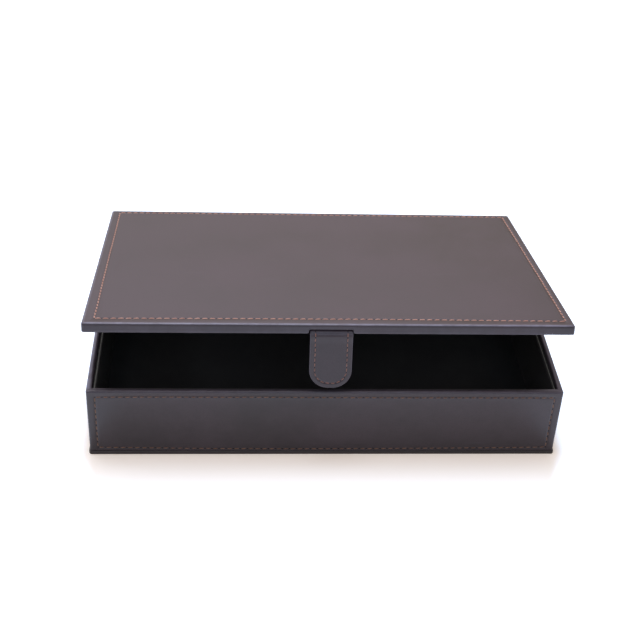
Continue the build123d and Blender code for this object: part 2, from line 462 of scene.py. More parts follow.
class Sheet:
    """A tree of shader nodes being laid out."""

    def __init__(self, tree: bpy.types.NodeTree) -> None:
        """Starts on a material's or group's tree and clears it."""
        self.tree = tree
        self.tree.nodes.clear()

    def add(self, kind: str, inputs: dict | None = None, **settings: object) -> Node:
        """Adds a node.

        Args:
            kind: The node's type.
            inputs: For each input's name or number, a value or the output that feeds it.
            settings: The node's own options.

        Returns:
            The new node.
        """
        node = self.tree.nodes.new(kind)
        for option, value in settings.items():
            setattr(node, option, value)
        for key, value in (inputs or {}).items():
            self.feed(node.inputs[key], value)
        return node

    def feed(self, socket: Socket, value: object) -> None:
        """Gives one input its value or its link.

        Args:
            socket: The input.
            value: A number, a colour, a vector or another node's output.
        """
        if isinstance(value, bpy.types.NodeSocket):
            self.tree.links.new(value, socket)
        elif socket.type == "RGBA" and len(value) == 3:
            socket.default_value = (*value, 1.0)
        else:
            socket.default_value = value

    def math(self, operation: str, first: object, second: object = 0.0) -> Socket:
        """Adds a sum, clamped to the range from 0 to 1."""
        inputs = {0: first, 1: second}
        return self.add("ShaderNodeMath", inputs, operation=operation, use_clamp=True).outputs[0]

    def scale_add(self, value: object, factor: object, more: object) -> Socket:
        """Multiplies a value by a factor and adds more, without a limit to the result."""
        inputs = {0: value, 1: factor, 2: more}
        return self.add("ShaderNodeMath", inputs, operation="MULTIPLY_ADD").outputs[0]

    def blend(self, share: object, first: object, second: object) -> Socket:
        """Mixes two colours by the share of the second one."""
        node = self.add("ShaderNodeMix", {"Factor": share, 6: first, 7: second}, data_type="RGBA")
        return node.outputs[2]

    def carry(self, value: object, span: Spot, low: float = 0.0, high: float = 1.0) -> Socket:
        """Carries a value softly from its span to the range from low to high."""
        inputs = {0: value, 1: span[0], 2: span[1], 3: low, 4: high}
        return self.add("ShaderNodeMapRange", inputs, interpolation_type="SMOOTHSTEP").outputs[0]

    def noise(self, where: object, scale: object, detail: float = 3.0, roughness: float = 0.5) -> Socket:
        """Adds a cloudy pattern with so many clouds to a metre, and finer layers by detail and roughness."""
        inputs = {"Vector": where, "Scale": scale, "Detail": detail, "Roughness": roughness}
        return self.add("ShaderNodeTexNoise", inputs).outputs[0]

    def emboss(self, shader: Node, height: Socket, strength: float, depth: float) -> None:
        """Presses a relief into a shader's surface, with a depth in metres."""
        inputs = {"Height": height, "Strength": strength, "Distance": depth}
        self.feed(shader.inputs["Normal"], self.add("ShaderNodeBump", inputs).outputs[0])


@dataclass(frozen=True)
class SharedEffect:
    """A node group that several finishes use, with its inputs' names and first values."""

    name: str
    inputs: dict[str, float]
    outputs: tuple[str, ...]

    def group(self) -> bpy.types.NodeTree:
        """Makes the group, or finds the one made before.

        Returns:
            The group's tree.
        """
        if self.name in bpy.data.node_groups:
            return bpy.data.node_groups[self.name]
        tree = bpy.data.node_groups.new(self.name, "ShaderNodeTree")
        for name, value in self.inputs.items():
            socket = tree.interface.new_socket(name, in_out="INPUT", socket_type="NodeSocketFloat")
            socket.default_value = value
        for name in self.outputs:
            tree.interface.new_socket(name, in_out="OUTPUT", socket_type="NodeSocketFloat")
        sheet = Sheet(tree)
        given = sheet.add("NodeGroupInput").outputs
        out = sheet.add("NodeGroupOutput").inputs
        where = sheet.add("ShaderNodeTexCoord").outputs["Object"]
        for name, value in zip(self.outputs, self.lay_out(sheet, given, where)):
            sheet.feed(out[name], value)
        return tree

    def use(self, sheet: Sheet, **values: float) -> Outputs:
        """Places the group in a material.

        Args:
            sheet: The material's sheet.
            values: Values for the inputs, by their names.

        Returns:
            The group's outputs.
        """
        node = sheet.add("ShaderNodeGroup", node_tree=self.group())
        for name, value in values.items():
            node.inputs[name].default_value = value
        return node.outputs

    def lay_out(self, sheet: Sheet, given: Outputs, where: Socket) -> tuple[Socket, ...]:
        """Lays out the group's nodes and gives what it puts out, in the order of its outputs."""
        raise NotImplementedError


@dataclass(frozen=True)
class PressedGrain(SharedEffect):
    """The fine pebbled grain pressed into coated leather."""

    name: str = "pressed_grain"
    inputs: dict[str, float] = field(default_factory=lambda: {"Cells": 1300.0, "Softness": 0.5})
    outputs: tuple[str, ...] = ("Height", "Pores")
    bend_scale: float = 420.0
    bend_detail: float = 2.0
    bend_reach: float = 0.0011
    pebble_span: Spot = (0.15, 0.75)
    pore_span: Spot = (0.5, 0.8)
    dust_scale: float = 5200.0
    dust_detail: float = 2.0
    dust_roughness: float = 0.6
    dust_share: float = 0.22

    def lay_out(self, sheet: Sheet, given: Outputs, where: Socket) -> tuple[Socket, ...]:
        """Joins rounded cells, their creases and a little fine dust.

        Args:
            sheet: The group's sheet.
            given: What is given to the group.
            where: The coordinates.

        Returns:
            The grain's height and its pores.
        """
        inputs = {"Vector": where, "Scale": self.bend_scale, "Detail": self.bend_detail}
        bend = sheet.add("ShaderNodeTexNoise", inputs).outputs[1]
        bent = sheet.add("ShaderNodeVectorMath", {0: bend, "Scale": self.bend_reach}, operation="SCALE")
        moved = sheet.add("ShaderNodeVectorMath", {0: where, 1: bent.outputs[0]}, operation="ADD")
        inputs = {"Vector": moved.outputs[0], "Scale": given["Cells"], "Smoothness": given["Softness"]}
        cells = sheet.add("ShaderNodeTexVoronoi", inputs, feature="SMOOTH_F1").outputs[0]
        pebble = sheet.math("MULTIPLY", sheet.carry(cells, self.pebble_span, 1.0, 0.0), 1.0 - self.dust_share)
        dust = sheet.noise(where, self.dust_scale, self.dust_detail, self.dust_roughness)
        return sheet.scale_add(dust, self.dust_share, pebble), sheet.carry(cells, self.pore_span)


@dataclass(frozen=True)
class HandlingMarks(SharedEffect):
    """Soft cloudy shading and the faint straight scuffs that handling leaves."""

    name: str = "handling_marks"
    inputs: dict[str, float] = field(default_factory=lambda: {"Clouds": 7.0, "Scuffs": 60.0})
    outputs: tuple[str, ...] = ("Shade", "Scuff")
    cloud_detail: float = 7.0
    cloud_roughness: float = 0.74
    cloud_span: Spot = (0.32, 0.68)
    scuff_turn: Point = (0.0, 0.0, 0.5)
    scuff_stretch: Point = (0.22, 2.6, 2.6)
    scuff_detail: float = 2.0
    scuff_roughness: float = 0.4
    scuff_span: Spot = (0.6, 0.82)
    patch_scale: float = 21.0
    patch_detail: float = 1.0
    patch_span: Spot = (0.55, 0.72)

    def lay_out(self, sheet: Sheet, given: Outputs, where: Socket) -> tuple[Socket, ...]:
        """Joins broad clouds with thin stretched marks.

        Args:
            sheet: The group's sheet.
            given: What is given to the group.
            where: The coordinates.

        Returns:
            The clouds' shade and the scuffs.
        """
        broad = sheet.noise(where, given["Clouds"], self.cloud_detail, self.cloud_roughness)
        inputs = {"Vector": where, "Rotation": self.scuff_turn, "Scale": self.scuff_stretch}
        thin = sheet.add("ShaderNodeMapping", inputs).outputs[0]
        lines = sheet.noise(thin, given["Scuffs"], self.scuff_detail, self.scuff_roughness)
        few = sheet.carry(sheet.noise(where, self.patch_scale, self.patch_detail), self.patch_span)
        marks = sheet.carry(lines, self.scuff_span)
        return sheet.carry(broad, self.cloud_span), sheet.math("MULTIPLY", marks, few)


@dataclass(frozen=True)
class ChafeAndGlintEdges(SharedEffect):
    """Where a piece's edges are lighter, part chafing and part a painted highlight, broken up by noise."""

    name: str = "chafe_and_glint_edges"
    inputs: dict[str, float] = field(default_factory=lambda: {"Breaks": 90.0, "Strength": 0.6})
    outputs: tuple[str, ...] = ("ChafeGlint",)
    break_detail: float = 5.0
    break_roughness: float = 0.6
    break_span: Spot = (0.35, 0.65)
    least: float = 0.6

    def lay_out(self, sheet: Sheet, given: Outputs, where: Socket) -> tuple[Socket, ...]:
        """Breaks up the edge share that each piece's mesh carries.

        Args:
            sheet: The group's sheet.
            given: What is given to the group.
            where: The coordinates.

        Returns:
            How much lighter each spot is, part chafing and part painted highlight.
        """
        edge = sheet.add("ShaderNodeAttribute", attribute_name="rub").outputs["Fac"]
        breaks = sheet.noise(where, given["Breaks"], self.break_detail, self.break_roughness)
        chafe_glint_share = sheet.math("MULTIPLY", edge, sheet.carry(breaks, self.break_span, self.least, 1.0))
        return (sheet.math("MULTIPLY", chafe_glint_share, given["Strength"]),)


@dataclass(frozen=True)
class Fibres(SharedEffect):
    """The short tangled fibres of thread, flock and card."""

    name: str = "fibres"
    inputs: dict[str, float] = field(default_factory=lambda: {"Fineness": 2600.0, "Clouds": 30.0})
    outputs: tuple[str, ...] = ("Shade", "Height")
    speck_roughness: float = 0.65
    span: Spot = (0.3, 0.7)
    least_speck: float = 0.3
    least_brushed: float = 0.5

    def lay_out(self, sheet: Sheet, given: Outputs, where: Socket) -> tuple[Socket, ...]:
        """Joins fine specks with broad brushed patches.

        Args:
            sheet: The group's sheet.
            given: What is given to the group.
            where: The coordinates.

        Returns:
            The fibres' shade and their height.
        """
        specks = sheet.noise(where, given["Fineness"], roughness=self.speck_roughness)
        fine = sheet.carry(specks, self.span, self.least_speck, 1.0)
        brushed = sheet.carry(sheet.noise(where, given["Clouds"]), self.span, self.least_brushed, 1.0)
        return sheet.math("MULTIPLY", fine, brushed), specks


GRAIN = PressedGrain()
MARKS = HandlingMarks()
EDGES = ChafeAndGlintEdges()
FIBRES = Fibres()
WHOLE = (0.0, 1.0)


@dataclass(frozen=True)
class Finish:
    """What every finish has: a name and a way to lay out its shader."""

    name: str

    def material(self) -> Material:
        """Makes the material, or finds the one made before.

        Returns:
            The finish's material.
        """
        if self.name in bpy.data.materials:
            return bpy.data.materials[self.name]
        made = bpy.data.materials.new(self.name)
        made.use_nodes = True
        sheet = Sheet(made.node_tree)
        out = sheet.add("ShaderNodeOutputMaterial")
        shader = sheet.add("ShaderNodeBsdfPrincipled")
        sheet.feed(out.inputs["Surface"], shader.outputs[0])
        self.lay_out(sheet, shader)
        return made

    def lay_out(self, sheet: Sheet, shader: Node) -> None:
        """Lays out the nodes that feed the shader."""
        raise NotImplementedError


@dataclass(frozen=True)
class CoatedLeather(Finish):
    """Smooth dark leather with a satin coat, a fine grain and lighter edges, part chafing and part a painted
    highlight.
    """

    deep: Colour
    light: Colour
    # Colour of scuffs and of lighter edges; along rounded edges it is a painted highlight.
    chafe_and_glint_colour: Colour
    roughness: float = 0.315
    unevenness: float = 0.03
    cells: float = 1300.0
    relief: float = 0.25
    depth: float = 0.00006
    chafe_glint_strength: float = 0.9
    pore_shade: float = 0.35
    scuff_shade: float = 0.12
    scuff_dulling: float = 0.02
    refraction: float = 1.5
    shine: float = 0.42

    def lay_out(self, sheet: Sheet, shader: Node) -> None:
        """Colours the leather by its clouds, pores and scuffs and by its lighter edges, part chafing and part
        painted highlight, and presses its grain.

        Args:
            sheet: The material's sheet.
            shader: Its main shader.
        """
        grain = GRAIN.use(sheet, Cells=self.cells)
        marks = MARKS.use(sheet)
        chafe_glint_share = EDGES.use(sheet, Strength=self.chafe_glint_strength)["ChafeGlint"]
        base = sheet.blend(marks["Shade"], self.deep, self.light)
        pored = sheet.blend(sheet.math("MULTIPLY", grain["Pores"], self.pore_shade), base, self.deep)
        scuff = sheet.math("MULTIPLY", marks["Scuff"], self.scuff_shade)
        scuffed = sheet.blend(scuff, pored, self.chafe_and_glint_colour)
        # Lighter edges, part chafing and part a painted highlight where rounded edges would catch the light.
        sheet.feed(shader.inputs["Base Color"], sheet.blend(chafe_glint_share, scuffed, self.chafe_and_glint_colour))
        low, high = self.roughness - self.unevenness, self.roughness + self.unevenness
        even = sheet.carry(marks["Shade"], WHOLE, low, high)
        dull = sheet.math("MULTIPLY", marks["Scuff"], self.scuff_dulling)
        sheet.feed(shader.inputs["Roughness"], sheet.math("ADD", even, dull))
        sheet.emboss(shader, grain["Height"], self.relief, self.depth)
        shader.inputs["IOR"].default_value = self.refraction
        shader.inputs["Specular IOR Level"].default_value = self.shine


@dataclass(frozen=True)
class FibrousFinish(Finish):
    """Fibres that are lighter and smoother on their crowns than between them."""

    dark: Colour
    light: Colour
    fineness: float
    clouds: float
    dullness: Spot
    relief: float
    depth: float
    sheen: float = 0.0
    shine: float = 0.5

    def lay_out(self, sheet: Sheet, shader: Node) -> None:
        """Colours, dulls and roughens the surface by its fibres.

        Args:
            sheet: The material's sheet.
            shader: Its main shader.
        """
        fibres = FIBRES.use(sheet, Fineness=self.fineness, Clouds=self.clouds)
        colour = sheet.blend(fibres["Shade"], self.dark, self.light)
        sheet.feed(shader.inputs["Base Color"], self.edged(sheet, colour))
        sheet.feed(shader.inputs["Roughness"], sheet.carry(fibres["Shade"], WHOLE, *self.dullness))
        sheet.emboss(shader, fibres["Height"], self.relief, self.depth)
        shader.inputs["Sheen Weight"].default_value = self.sheen
        shader.inputs["Specular IOR Level"].default_value = self.shine

    def edged(self, sheet: Sheet, colour: Socket) -> Socket:
        """Leaves the colour as it is where the edges look like the rest."""
        return colour


@dataclass(frozen=True)
class SewingThread(FibrousFinish):
    """Waxed thread, lighter on its crown and darker between its strands."""

    fineness: float = 3400.0
    clouds: float = 160.0
    dullness: Spot = (0.65, 0.5)
    relief: float = 0.5
    depth: float = 0.00008
    sheen: float = 0.1


@dataclass(frozen=True)
class Flock(FibrousFinish):
    """Short black pile that swallows light, greyer along its edges, where a painted highlight stands for the
    pile catching light.
    """

    fineness: float = 2400.0
    clouds: float = 26.0
    dullness: Spot = (1.0, 0.9)
    relief: float = 0.6
    depth: float = 0.0003
    sheen: float = 0.02
    shine: float = 0.1
    breaks: float = 240.0
    # Colour of the edges: a painted highlight where the pile would catch light.
    edge: Colour = field(kw_only=True)

    def edged(self, sheet: Sheet, colour: Socket) -> Socket:
        """Gives the edges their lighter colour, a painted highlight."""
        chafe_glint_share = EDGES.use(sheet, Breaks=self.breaks, Strength=1.0)["ChafeGlint"]
        return sheet.blend(chafe_glint_share, colour, self.edge)


@dataclass(frozen=True)
class PressedBoard(FibrousFinish):
    """Pressed paper board, with fibres and faint blotches."""

    fineness: float = 1500.0
    clouds: float = 45.0
    dullness: Spot = (0.95, 0.8)
    relief: float = 0.4
    depth: float = 0.0002


@dataclass(frozen=True)
class HardPart(Finish):
    """A hidden moulded or plated part, plain but for its fine surface."""

    colour: Colour
    clouded: Colour
    metallic: float
    roughness: float
    clouding: float = 0.12
    clouds: float = 90.0
    scuffs: float = 400.0
    relief: float = 0.2
    depth: float = 0.00005

    def lay_out(self, sheet: Sheet, shader: Node) -> None:
        """Clouds the part's colour and polish a little.

        Args:
            sheet: The material's sheet.
            shader: Its main shader.
        """
        marks = MARKS.use(sheet, Clouds=self.clouds, Scuffs=self.scuffs)
        sheet.feed(shader.inputs["Base Color"], sheet.blend(marks["Shade"], self.colour, self.clouded))
        polish = sheet.carry(marks["Shade"], WHOLE, self.roughness, self.roughness + self.clouding)
        sheet.feed(shader.inputs["Roughness"], polish)
        sheet.emboss(shader, marks["Scuff"], self.relief, self.depth)
        shader.inputs["Metallic"].default_value = self.metallic


# Its third colour, a bluish grey, lightens scuffs and edges and paints the highlight along the lid's and
# rim's rounded edges.
LEATHER = CoatedLeather(
    "brown_coated_leather", from_srgb(50, 41, 45), from_srgb(66, 54, 60), from_srgb(142, 141, 164)
)
UNDER_LEATHER = CoatedLeather(
    "base_coated_leather",
    from_srgb(44, 38, 38),
    from_srgb(52, 45, 44),
    from_srgb(74, 66, 64),
    roughness=0.5,
    cells=900.0,
    relief=0.4,
    chafe_glint_strength=0.4,
)
# One thread in three finishes: the lid's has its own colour; the tab's and the walls' are darker copies,
# painted shade for the lesser light on them.
THREAD = SewingThread(
    "tan_sewing_thread", from_srgb(156, 106, 92), from_srgb(208, 163, 146), dullness=(0.55, 0.4)
)
TAB_SHADED_THREAD = SewingThread(
    "tab_thread_painted_shade", from_srgb(108, 70, 60), from_srgb(166, 120, 104), dullness=(0.6, 0.45)
)
WALL_THREAD = SewingThread("shaded_sewing_thread", from_srgb(88, 56, 42), from_srgb(142, 103, 74))
HOLE = Flock("needle_hole_shadow", from_srgb(16, 8, 8), from_srgb(24, 13, 12), edge=from_srgb(30, 18, 18))
# Its edge colour paints a thin highlight along the liners' tops and the lid lining's edges.
FLOCK = Flock("black_flock", from_srgb(54, 53, 54), from_srgb(66, 65, 65), edge=from_srgb(156, 154, 148))
BOARD = PressedBoard("grey_board", from_srgb(112, 104, 94), from_srgb(150, 142, 130))
CARD = PressedBoard("grey_card", from_srgb(124, 121, 116), from_srgb(158, 155, 149))
STIFFENER = HardPart("tab_stiffener_sheet", from_srgb(48, 48, 50), from_srgb(60, 60, 62), 0.0, 0.5)
MAGNET = HardPart("nickel_plate", from_srgb(186, 184, 178), from_srgb(160, 158, 152), 1.0, 0.29)
HIDDEN_FINISHES = {"board": BOARD, "card": CARD, "stiffener": STIFFENER, "magnet": MAGNET}


@dataclass(frozen=True)
class SewnRectangle:
    """A row of stitches round a panel, in the panel's own millimetres, a little uneven by hand."""

    left: float
    right: float
    low: float
    high: float
    rise: float = 0.0
    waver: float = 0.12
    lean: float = 0.0

    def wave(self, place: float, row: int) -> float:
        """Gives how far a row strays at a place along it."""
        strays = (share * math.sin(place / length + shift * row) for length, shift, share in HAND_WAVES)
        return self.waver * sum(strays)

    def low_at(self, u: float) -> float:
        """Gives the low row's height, which rises to both ends."""
        share = (2.0 * u - self.left - self.right) / (self.right - self.left)
        return self.low + self.rise * share * share + self.wave(u, 0)

    def high_at(self, u: float) -> float:
        """Gives the high row's height."""
        return self.high + self.wave(u, 2)

    def leaning(self, v: float) -> float:
        """Gives how far the side rows lean to the right at a height, which is most at the low row."""
        return self.lean * (0.5 - (v - self.low) / (self.high - self.low))

    def left_at(self, v: float) -> float:
        """Gives the left row's place."""
        return self.left + self.leaning(v) + self.wave(v, 3)

    def right_at(self, v: float) -> float:
        """Gives the right row's place."""
        return self.right + self.leaning(v) + self.wave(v, 1)

    def distance(self, u: float, v: float) -> float:
        """Measures how far a point of the panel is from the stitches.

        Args:
            u: The point's place across the panel.
            v: The point's place up the panel.

        Returns:
            The distance.
        """
        found = []
        if self.left <= u <= self.right:
            found += [abs(v - self.low_at(u)), abs(v - self.high_at(u))]
        if self.low <= v <= self.high:
            found += [abs(u - self.left_at(v)), abs(u - self.right_at(v))]
        for corner_u in (self.left, self.right):
            found.append(math.hypot(u - corner_u, v - self.low_at(corner_u)))
            found.append(math.hypot(u - corner_u, v - self.high_at(corner_u)))
        return min(found)

    def rows(self) -> list[list[Spot]]:
        """Gives the four rows, counter-clockwise for someone who faces the panel.

        Returns:
            For each row, its points a millimetre or so apart.
        """
        corners = [
            (self.left_at(self.low), self.low_at(self.left)),
            (self.right_at(self.low), self.low_at(self.right)),
            (self.right_at(self.high), self.high_at(self.right)),
            (self.left_at(self.high), self.high_at(self.left)),
        ]
        return [
            self.row(corners[0], corners[1], lambda u, v: (u, self.low_at(u))),
            self.row(corners[1], corners[2], lambda u, v: (self.right_at(v), v)),
            self.row(corners[2], corners[3], lambda u, v: (u, self.high_at(u))),
            self.row(corners[3], corners[0], lambda u, v: (self.left_at(v), v)),
        ]

    def row(self, start: Spot, end: Spot, bent: Callable[[float, float], Spot]) -> list[Spot]:
        """Draws one row from corner to corner.

        Args:
            start: The corner where it starts.
            end: The corner where it ends.
            bent: Moves a point of the straight line onto the real row.

        Returns:
            The row's points.
        """
        steps = max(int(math.dist(start, end)), 2)
        middle = []
        for step in range(1, steps):
            share = step / steps
            u, v = (first + (last - first) * share for first, last in zip(start, end))
            middle.append(bent(u, v))
        return [start, *middle, end]


@dataclass(frozen=True)
class Groove:
    """How the thread draws the leather in along a row of stitches."""

    depth: float = 0.26
    width: float = 0.75
    puff: float = 0.05
    puff_away: float = 2.2
    puff_width: float = 1.1

    def at(self, distance: float) -> float:
        """Gives how deep the leather is drawn in at a distance from the stitches."""
        drawn = self.depth * bell(distance, 0.0, self.width)
        return drawn - self.puff * bell(distance, self.puff_away, self.puff_width)


@dataclass
class Stitching:
    """Rows of slanted lockstitches, each a short twisted thread that dives into its needle holes."""

    name: str
    lay: Lay
    pitch: float = 5.0
    gap: float = 1.0
    radius: float = 0.43
    crown: float = -0.2
    dive: float = 0.75
    slant: float = 7.0
    slant_stray: float = 3.0
    length_stray: Spot = (0.94, 1.05)
    aside_stray: float = 0.06
    end_taper: float = 0.3
    strand: float = 0.09
    strand_twist: float = 2.4
    hole_size: float = 1.0
    hole_rings: tuple[Spot, ...] = ((0.75, -0.32), (0.5, -0.2), (0.15, -0.16))
    hole_narrowing: float = 0.75
    thread: SewingThread = THREAD
    sides: int = 10
    slices: int = 9
    hole_sides: int = 8
    hole_finish: int = 1
    skin: Skin = field(default_factory=Skin)
    chance: random.Random = field(default_factory=lambda: random.Random(SEED))

    def sew(self, row: list[Spot]) -> None:
        """Sews one row of stitches.

        Args:
            row: The row's points on the panel, in order.
        """
        lengths = [0.0]
        for first, second in zip(row, row[1:]):
            lengths.append(lengths[-1] + math.dist(first, second))
        count = max(round(lengths[-1] / self.pitch), 1)
        pitch = lengths[-1] / count
        for number in range(count):
            places = [(number + share) * pitch for share in (0.0, 0.5, 1.0)]
            start, middle, end = (self.along(row, lengths, place) for place in places)
            way = math.atan2(end[1] - start[1], end[0] - start[0])
            self.stitch(middle, way, pitch - self.gap)
            self.hole(start, way)
        self.hole(row[-1], 0.0)

    def along(self, row: list[Spot], lengths: list[float], far: float) -> Spot:
        """Finds a place along a row.

        Args:
            row: The row's points.
            lengths: How far along each point is.
            far: How far along the place is.

        Returns:
            The place.
        """
        last = len(row) - 1
        number = next((n for n in range(1, last) if far <= lengths[n]), last)
        share = (far - lengths[number - 1]) / (lengths[number] - lengths[number - 1])
        first, second = row[number - 1], row[number]
        return (first[0] + (second[0] - first[0]) * share, first[1] + (second[1] - first[1]) * share)

    def ring(self, middle: Spot, turn: float, points: list[Point]) -> list[int]:
        """Adds a ring of a stitch or hole.

        Args:
            middle: The middle of the stitch or hole on the panel.
            turn: Its direction, in radians.
            points: How far along it, how far aside and how high above the panel each point is.

        Returns:
            The numbers of its points.
        """
        placed = []
        for far, aside, height in points:
            u = middle[0] + far * math.cos(turn) - aside * math.sin(turn)
            v = middle[1] + far * math.sin(turn) + aside * math.cos(turn)
            placed.append(self.lay(u, v, height))
        return self.skin.row(placed)

    def stitch(self, middle: Spot, way: float, length: float) -> None:
        """Makes one stitch.

        Args:
            middle: Its middle on the panel.
            way: The row's direction there, in radians.
            length: How long it is.
        """
        turn = way + math.radians(self.slant + self.chance.uniform(-self.slant_stray, self.slant_stray))
        half = length / 2 * self.chance.uniform(*self.length_stray)
        off = self.chance.uniform(-self.aside_stray, self.aside_stray)
        twist = self.chance.uniform(0.0, math.pi)
        rings = []
        for piece in range(self.slices):
            t = 2.0 * piece / (self.slices - 1) - 1.0
            height = self.crown - self.dive * abs(t) ** 3
            radius = self.radius * (1.0 - self.end_taper * abs(t) ** 4)
            points = []
            for side in range(self.sides):
                angle = 2.0 * math.pi * side / self.sides
                strands = math.cos(2.0 * (angle - twist - self.strand_twist * t))
                lobed = radius * (1.0 + self.strand * strands)
                points.append((half * t, lobed * math.cos(angle) + off, height + lobed * math.sin(angle)))
            rings.append(self.ring(middle, turn, points))
        self.skin.loft(rings)
        self.skin.face(rings[0])
        self.skin.face(rings[-1][::-1])

    def hole(self, middle: Spot, way: float) -> None:
        """Makes the dark needle hole between two stitches.

        Args:
            middle: Its middle on the panel.
            way: The row's direction there, in radians.
        """
        angles = [2.0 * math.pi * side / self.hole_sides for side in range(self.hole_sides)]
        rings = []
        for radius, height in self.hole_rings:
            long = radius * self.hole_size
            wide = self.hole_narrowing * long
            points = [(long * math.cos(angle), wide * math.sin(angle), height) for angle in angles]
            rings.append(self.ring(middle, way + math.radians(self.slant), points))
        self.skin.loft(rings, finish=self.hole_finish)
        self.skin.face(rings[-1], self.hole_finish)
        self.skin.face(rings[0][::-1], self.hole_finish)

    def build(self, placed: Matrix | None = None) -> Piece:
        """Makes the sewn rows into one object, turned as a whole where a turn is given."""
        return self.skin.build(self.name, [self.thread.material(), HOLE.material()], placed)


@dataclass
class WallCover:
    """The leather wrapped round the four walls and over the rim, and its stitching."""

    corner: float = 1.6
    rounding: float = 1.5
    foot_rounding: float = 0.3
    turn_in: float = 14.0
    leather: float = 0.8
    corner_fold: float = 0.18
    fold_reach: float = 0.4
    inner_fold_share: float = 0.6
    corner_square: float = 0.6
    square_reach: Spot = (5.0, 28.0)
    seam_inset: float = 5.9
    seam_below_rim: float = 5.1
    seam_above_base: float = 1.6
    seam_rise: float = 1.5
    rise_below: Spot = (0.2, 0.9)
    rise_above: Spot = (1.5, 9.0)
    middle_rows: tuple[float, ...] = (0.15, 0.27, 0.4, 0.52, 0.65, 0.77, 0.88)
    top_rows: Spot = (2.0, 1.2)
    plain_columns: int = 8
    foot_rub: float = 0.4
    inner_rub: float = 0.1
    groove: Groove = field(default_factory=Groove)

    def __post_init__(self) -> None:
        """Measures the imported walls."""
        self.outline, (self.foot, self.rim), self.thickness = standing_ring("leather", self.corner)

    def half(self, side: Side) -> float:
        """Gives half the length of a wall."""
        return self.outline.right if side in (Side.FRONT, Side.BACK) else self.outline.back

    def seam(self, side: Side) -> SewnRectangle:
        """Draws the stitches of one wall.

        Args:
            side: Which wall.

        Returns:
            The stitched rectangle, across and up the wall from the middle of its foot.
        """
        reach = self.half(side) - self.seam_inset
        low, high = self.foot + self.seam_above_base, self.rim - self.seam_below_rim
        return SewnRectangle(-reach, reach, low, high, self.seam_rise)

    def raised(self, seam: SewnRectangle, u: float, z: float) -> float:
        """Bends the mesh rows near the foot so that they follow the low row of stitches.

        Args:
            seam: The wall's stitches.
            u: The place across the wall.
            z: The row's plain height.

        Returns:
            The row's height there.
        """
        lift = seam.low_at(u) - seam.low
        rising = smooth(self.foot + self.rise_below[0], seam.low - self.rise_below[1], z)
        falling = 1.0 - smooth(seam.low + self.rise_above[0], seam.low + self.rise_above[1], z)
        return z + lift * rising * falling

    def heights(self) -> list[float]:
        """Gives the heights of the mesh rows on the outer faces.

        Returns:
            The heights, from the foot to the rim.
        """
        low, high = self.foot + self.seam_above_base, self.rim - self.seam_below_rim
        middle = [low + (high - low) * share for share in self.middle_rows]
        rows = near(low, SEAM_STEPS[2:]) + middle + near(high, SEAM_STEPS)
        return [self.foot + self.foot_rounding, *rows, *(self.rim - below for below in self.top_rows)]

    def columns(self, half: float) -> tuple[float, ...]:
        """Gives the places of the mesh columns along one wall.

        Args:
            half: Half the wall's length.

        Returns:
            The places, from left to right.
        """
        seam = near(half - self.seam_inset, SEAM_STEPS)
        count = self.plain_columns
        middle = [half * number / count for number in range(1 - count, count)]
        return tuple(sorted([-place for place in seam] + middle + seam))

    def cover(self) -> Piece:
        """Builds the cover as one ring round the box.

        Returns:
            The cover.
        """
        plan = RingPlan(self.outline, self.columns(self.outline.right), self.columns(self.outline.back))
        skin = Skin()
        rows = [self.plain(skin, plan, self.foot_rounding, self.foot, self.foot_rub)]
        rows += [self.outer(skin, plan, height) for height in self.heights()]
        round_in = arc(self.rounding, 5)
        rows += [self.plain(skin, plan, inset, self.rim - short, 1.0) for inset, short in round_in]
        rows += [self.inner_edge(skin, plan, inset, short) for inset, short in reversed(round_in)]
        inner, turned = self.thickness - self.leather, self.rim - self.turn_in
        for inset, height in ((self.thickness, turned), (inner, turned), (inner, self.foot)):
            rows.append(self.plain(skin, plan, inset, height, 0.0))
        skin.loft(rows, looped=True)
        return skin.build("wall_cover", [LEATHER.material()])

    def plain(self, skin: Skin, plan: RingPlan, inset: float, height: float, rub: float) -> list[int]:
        """Adds a plain ring.

        Args:
            skin: The cover's surface.
            plan: Its columns.
            inset: How far in from the outer faces the ring is.
            height: How high it is.
            rub: How much of an edge it is.

        Returns:
            The numbers of its points.
        """
        ring = plan.stations(self.outline.inset(inset))
        fold = self.corner_fold if height > self.rim - self.fold_reach else 0.0
        points = [(s.x, s.y, height - (fold if s.side is None else 0.0)) for s in ring]
        # The rim's round takes lighter edge colour by side, mostly a painted highlight along the left rim
        # where light falls; the foot takes a little too.
        return skin.row(points, [rub * RIM_CHAFE_AND_GLINT[s.side] for s in ring])

    def inner_edge(self, skin: Skin, plan: RingPlan, inset: float, short: float) -> list[int]:
        """Adds a ring of the rim's inner round, which is squarer where the leather is folded at the corners.

        Args:
            skin: The cover's surface.
            plan: Its columns.
            inset: How far the ring is from the walls' inner faces, along the middle of a wall.
            short: How far it is below the rim there.

        Returns:
            The numbers of its points.
        """
        points = []
        for s in plan.stations(self.outline.inset(self.thickness)):
            open_end = 0.0 if s.side is None else self.half(s.side) - abs(s.along)
            share = 1.0 - self.corner_square * (1.0 - smooth(*self.square_reach, open_end))
            x, y = self.side_of(s)
            fold = self.corner_fold * self.inner_fold_share if s.side is None else 0.0
            height = self.rim - short * share - fold
            points.append((s.x + x * inset * share, s.y + y * inset * share, height))
        return skin.row(points, self.inner_rub)

    def side_of(self, station: Station) -> Spot:
        """Gives the outward way at a column.

        Args:
            station: The column.

        Returns:
            The wall's own way, or at a corner the way out between its two walls.
        """
        if station.side is not None:
            return station.side.outward
        return (math.copysign(1.0, station.x), math.copysign(1.0, station.y))

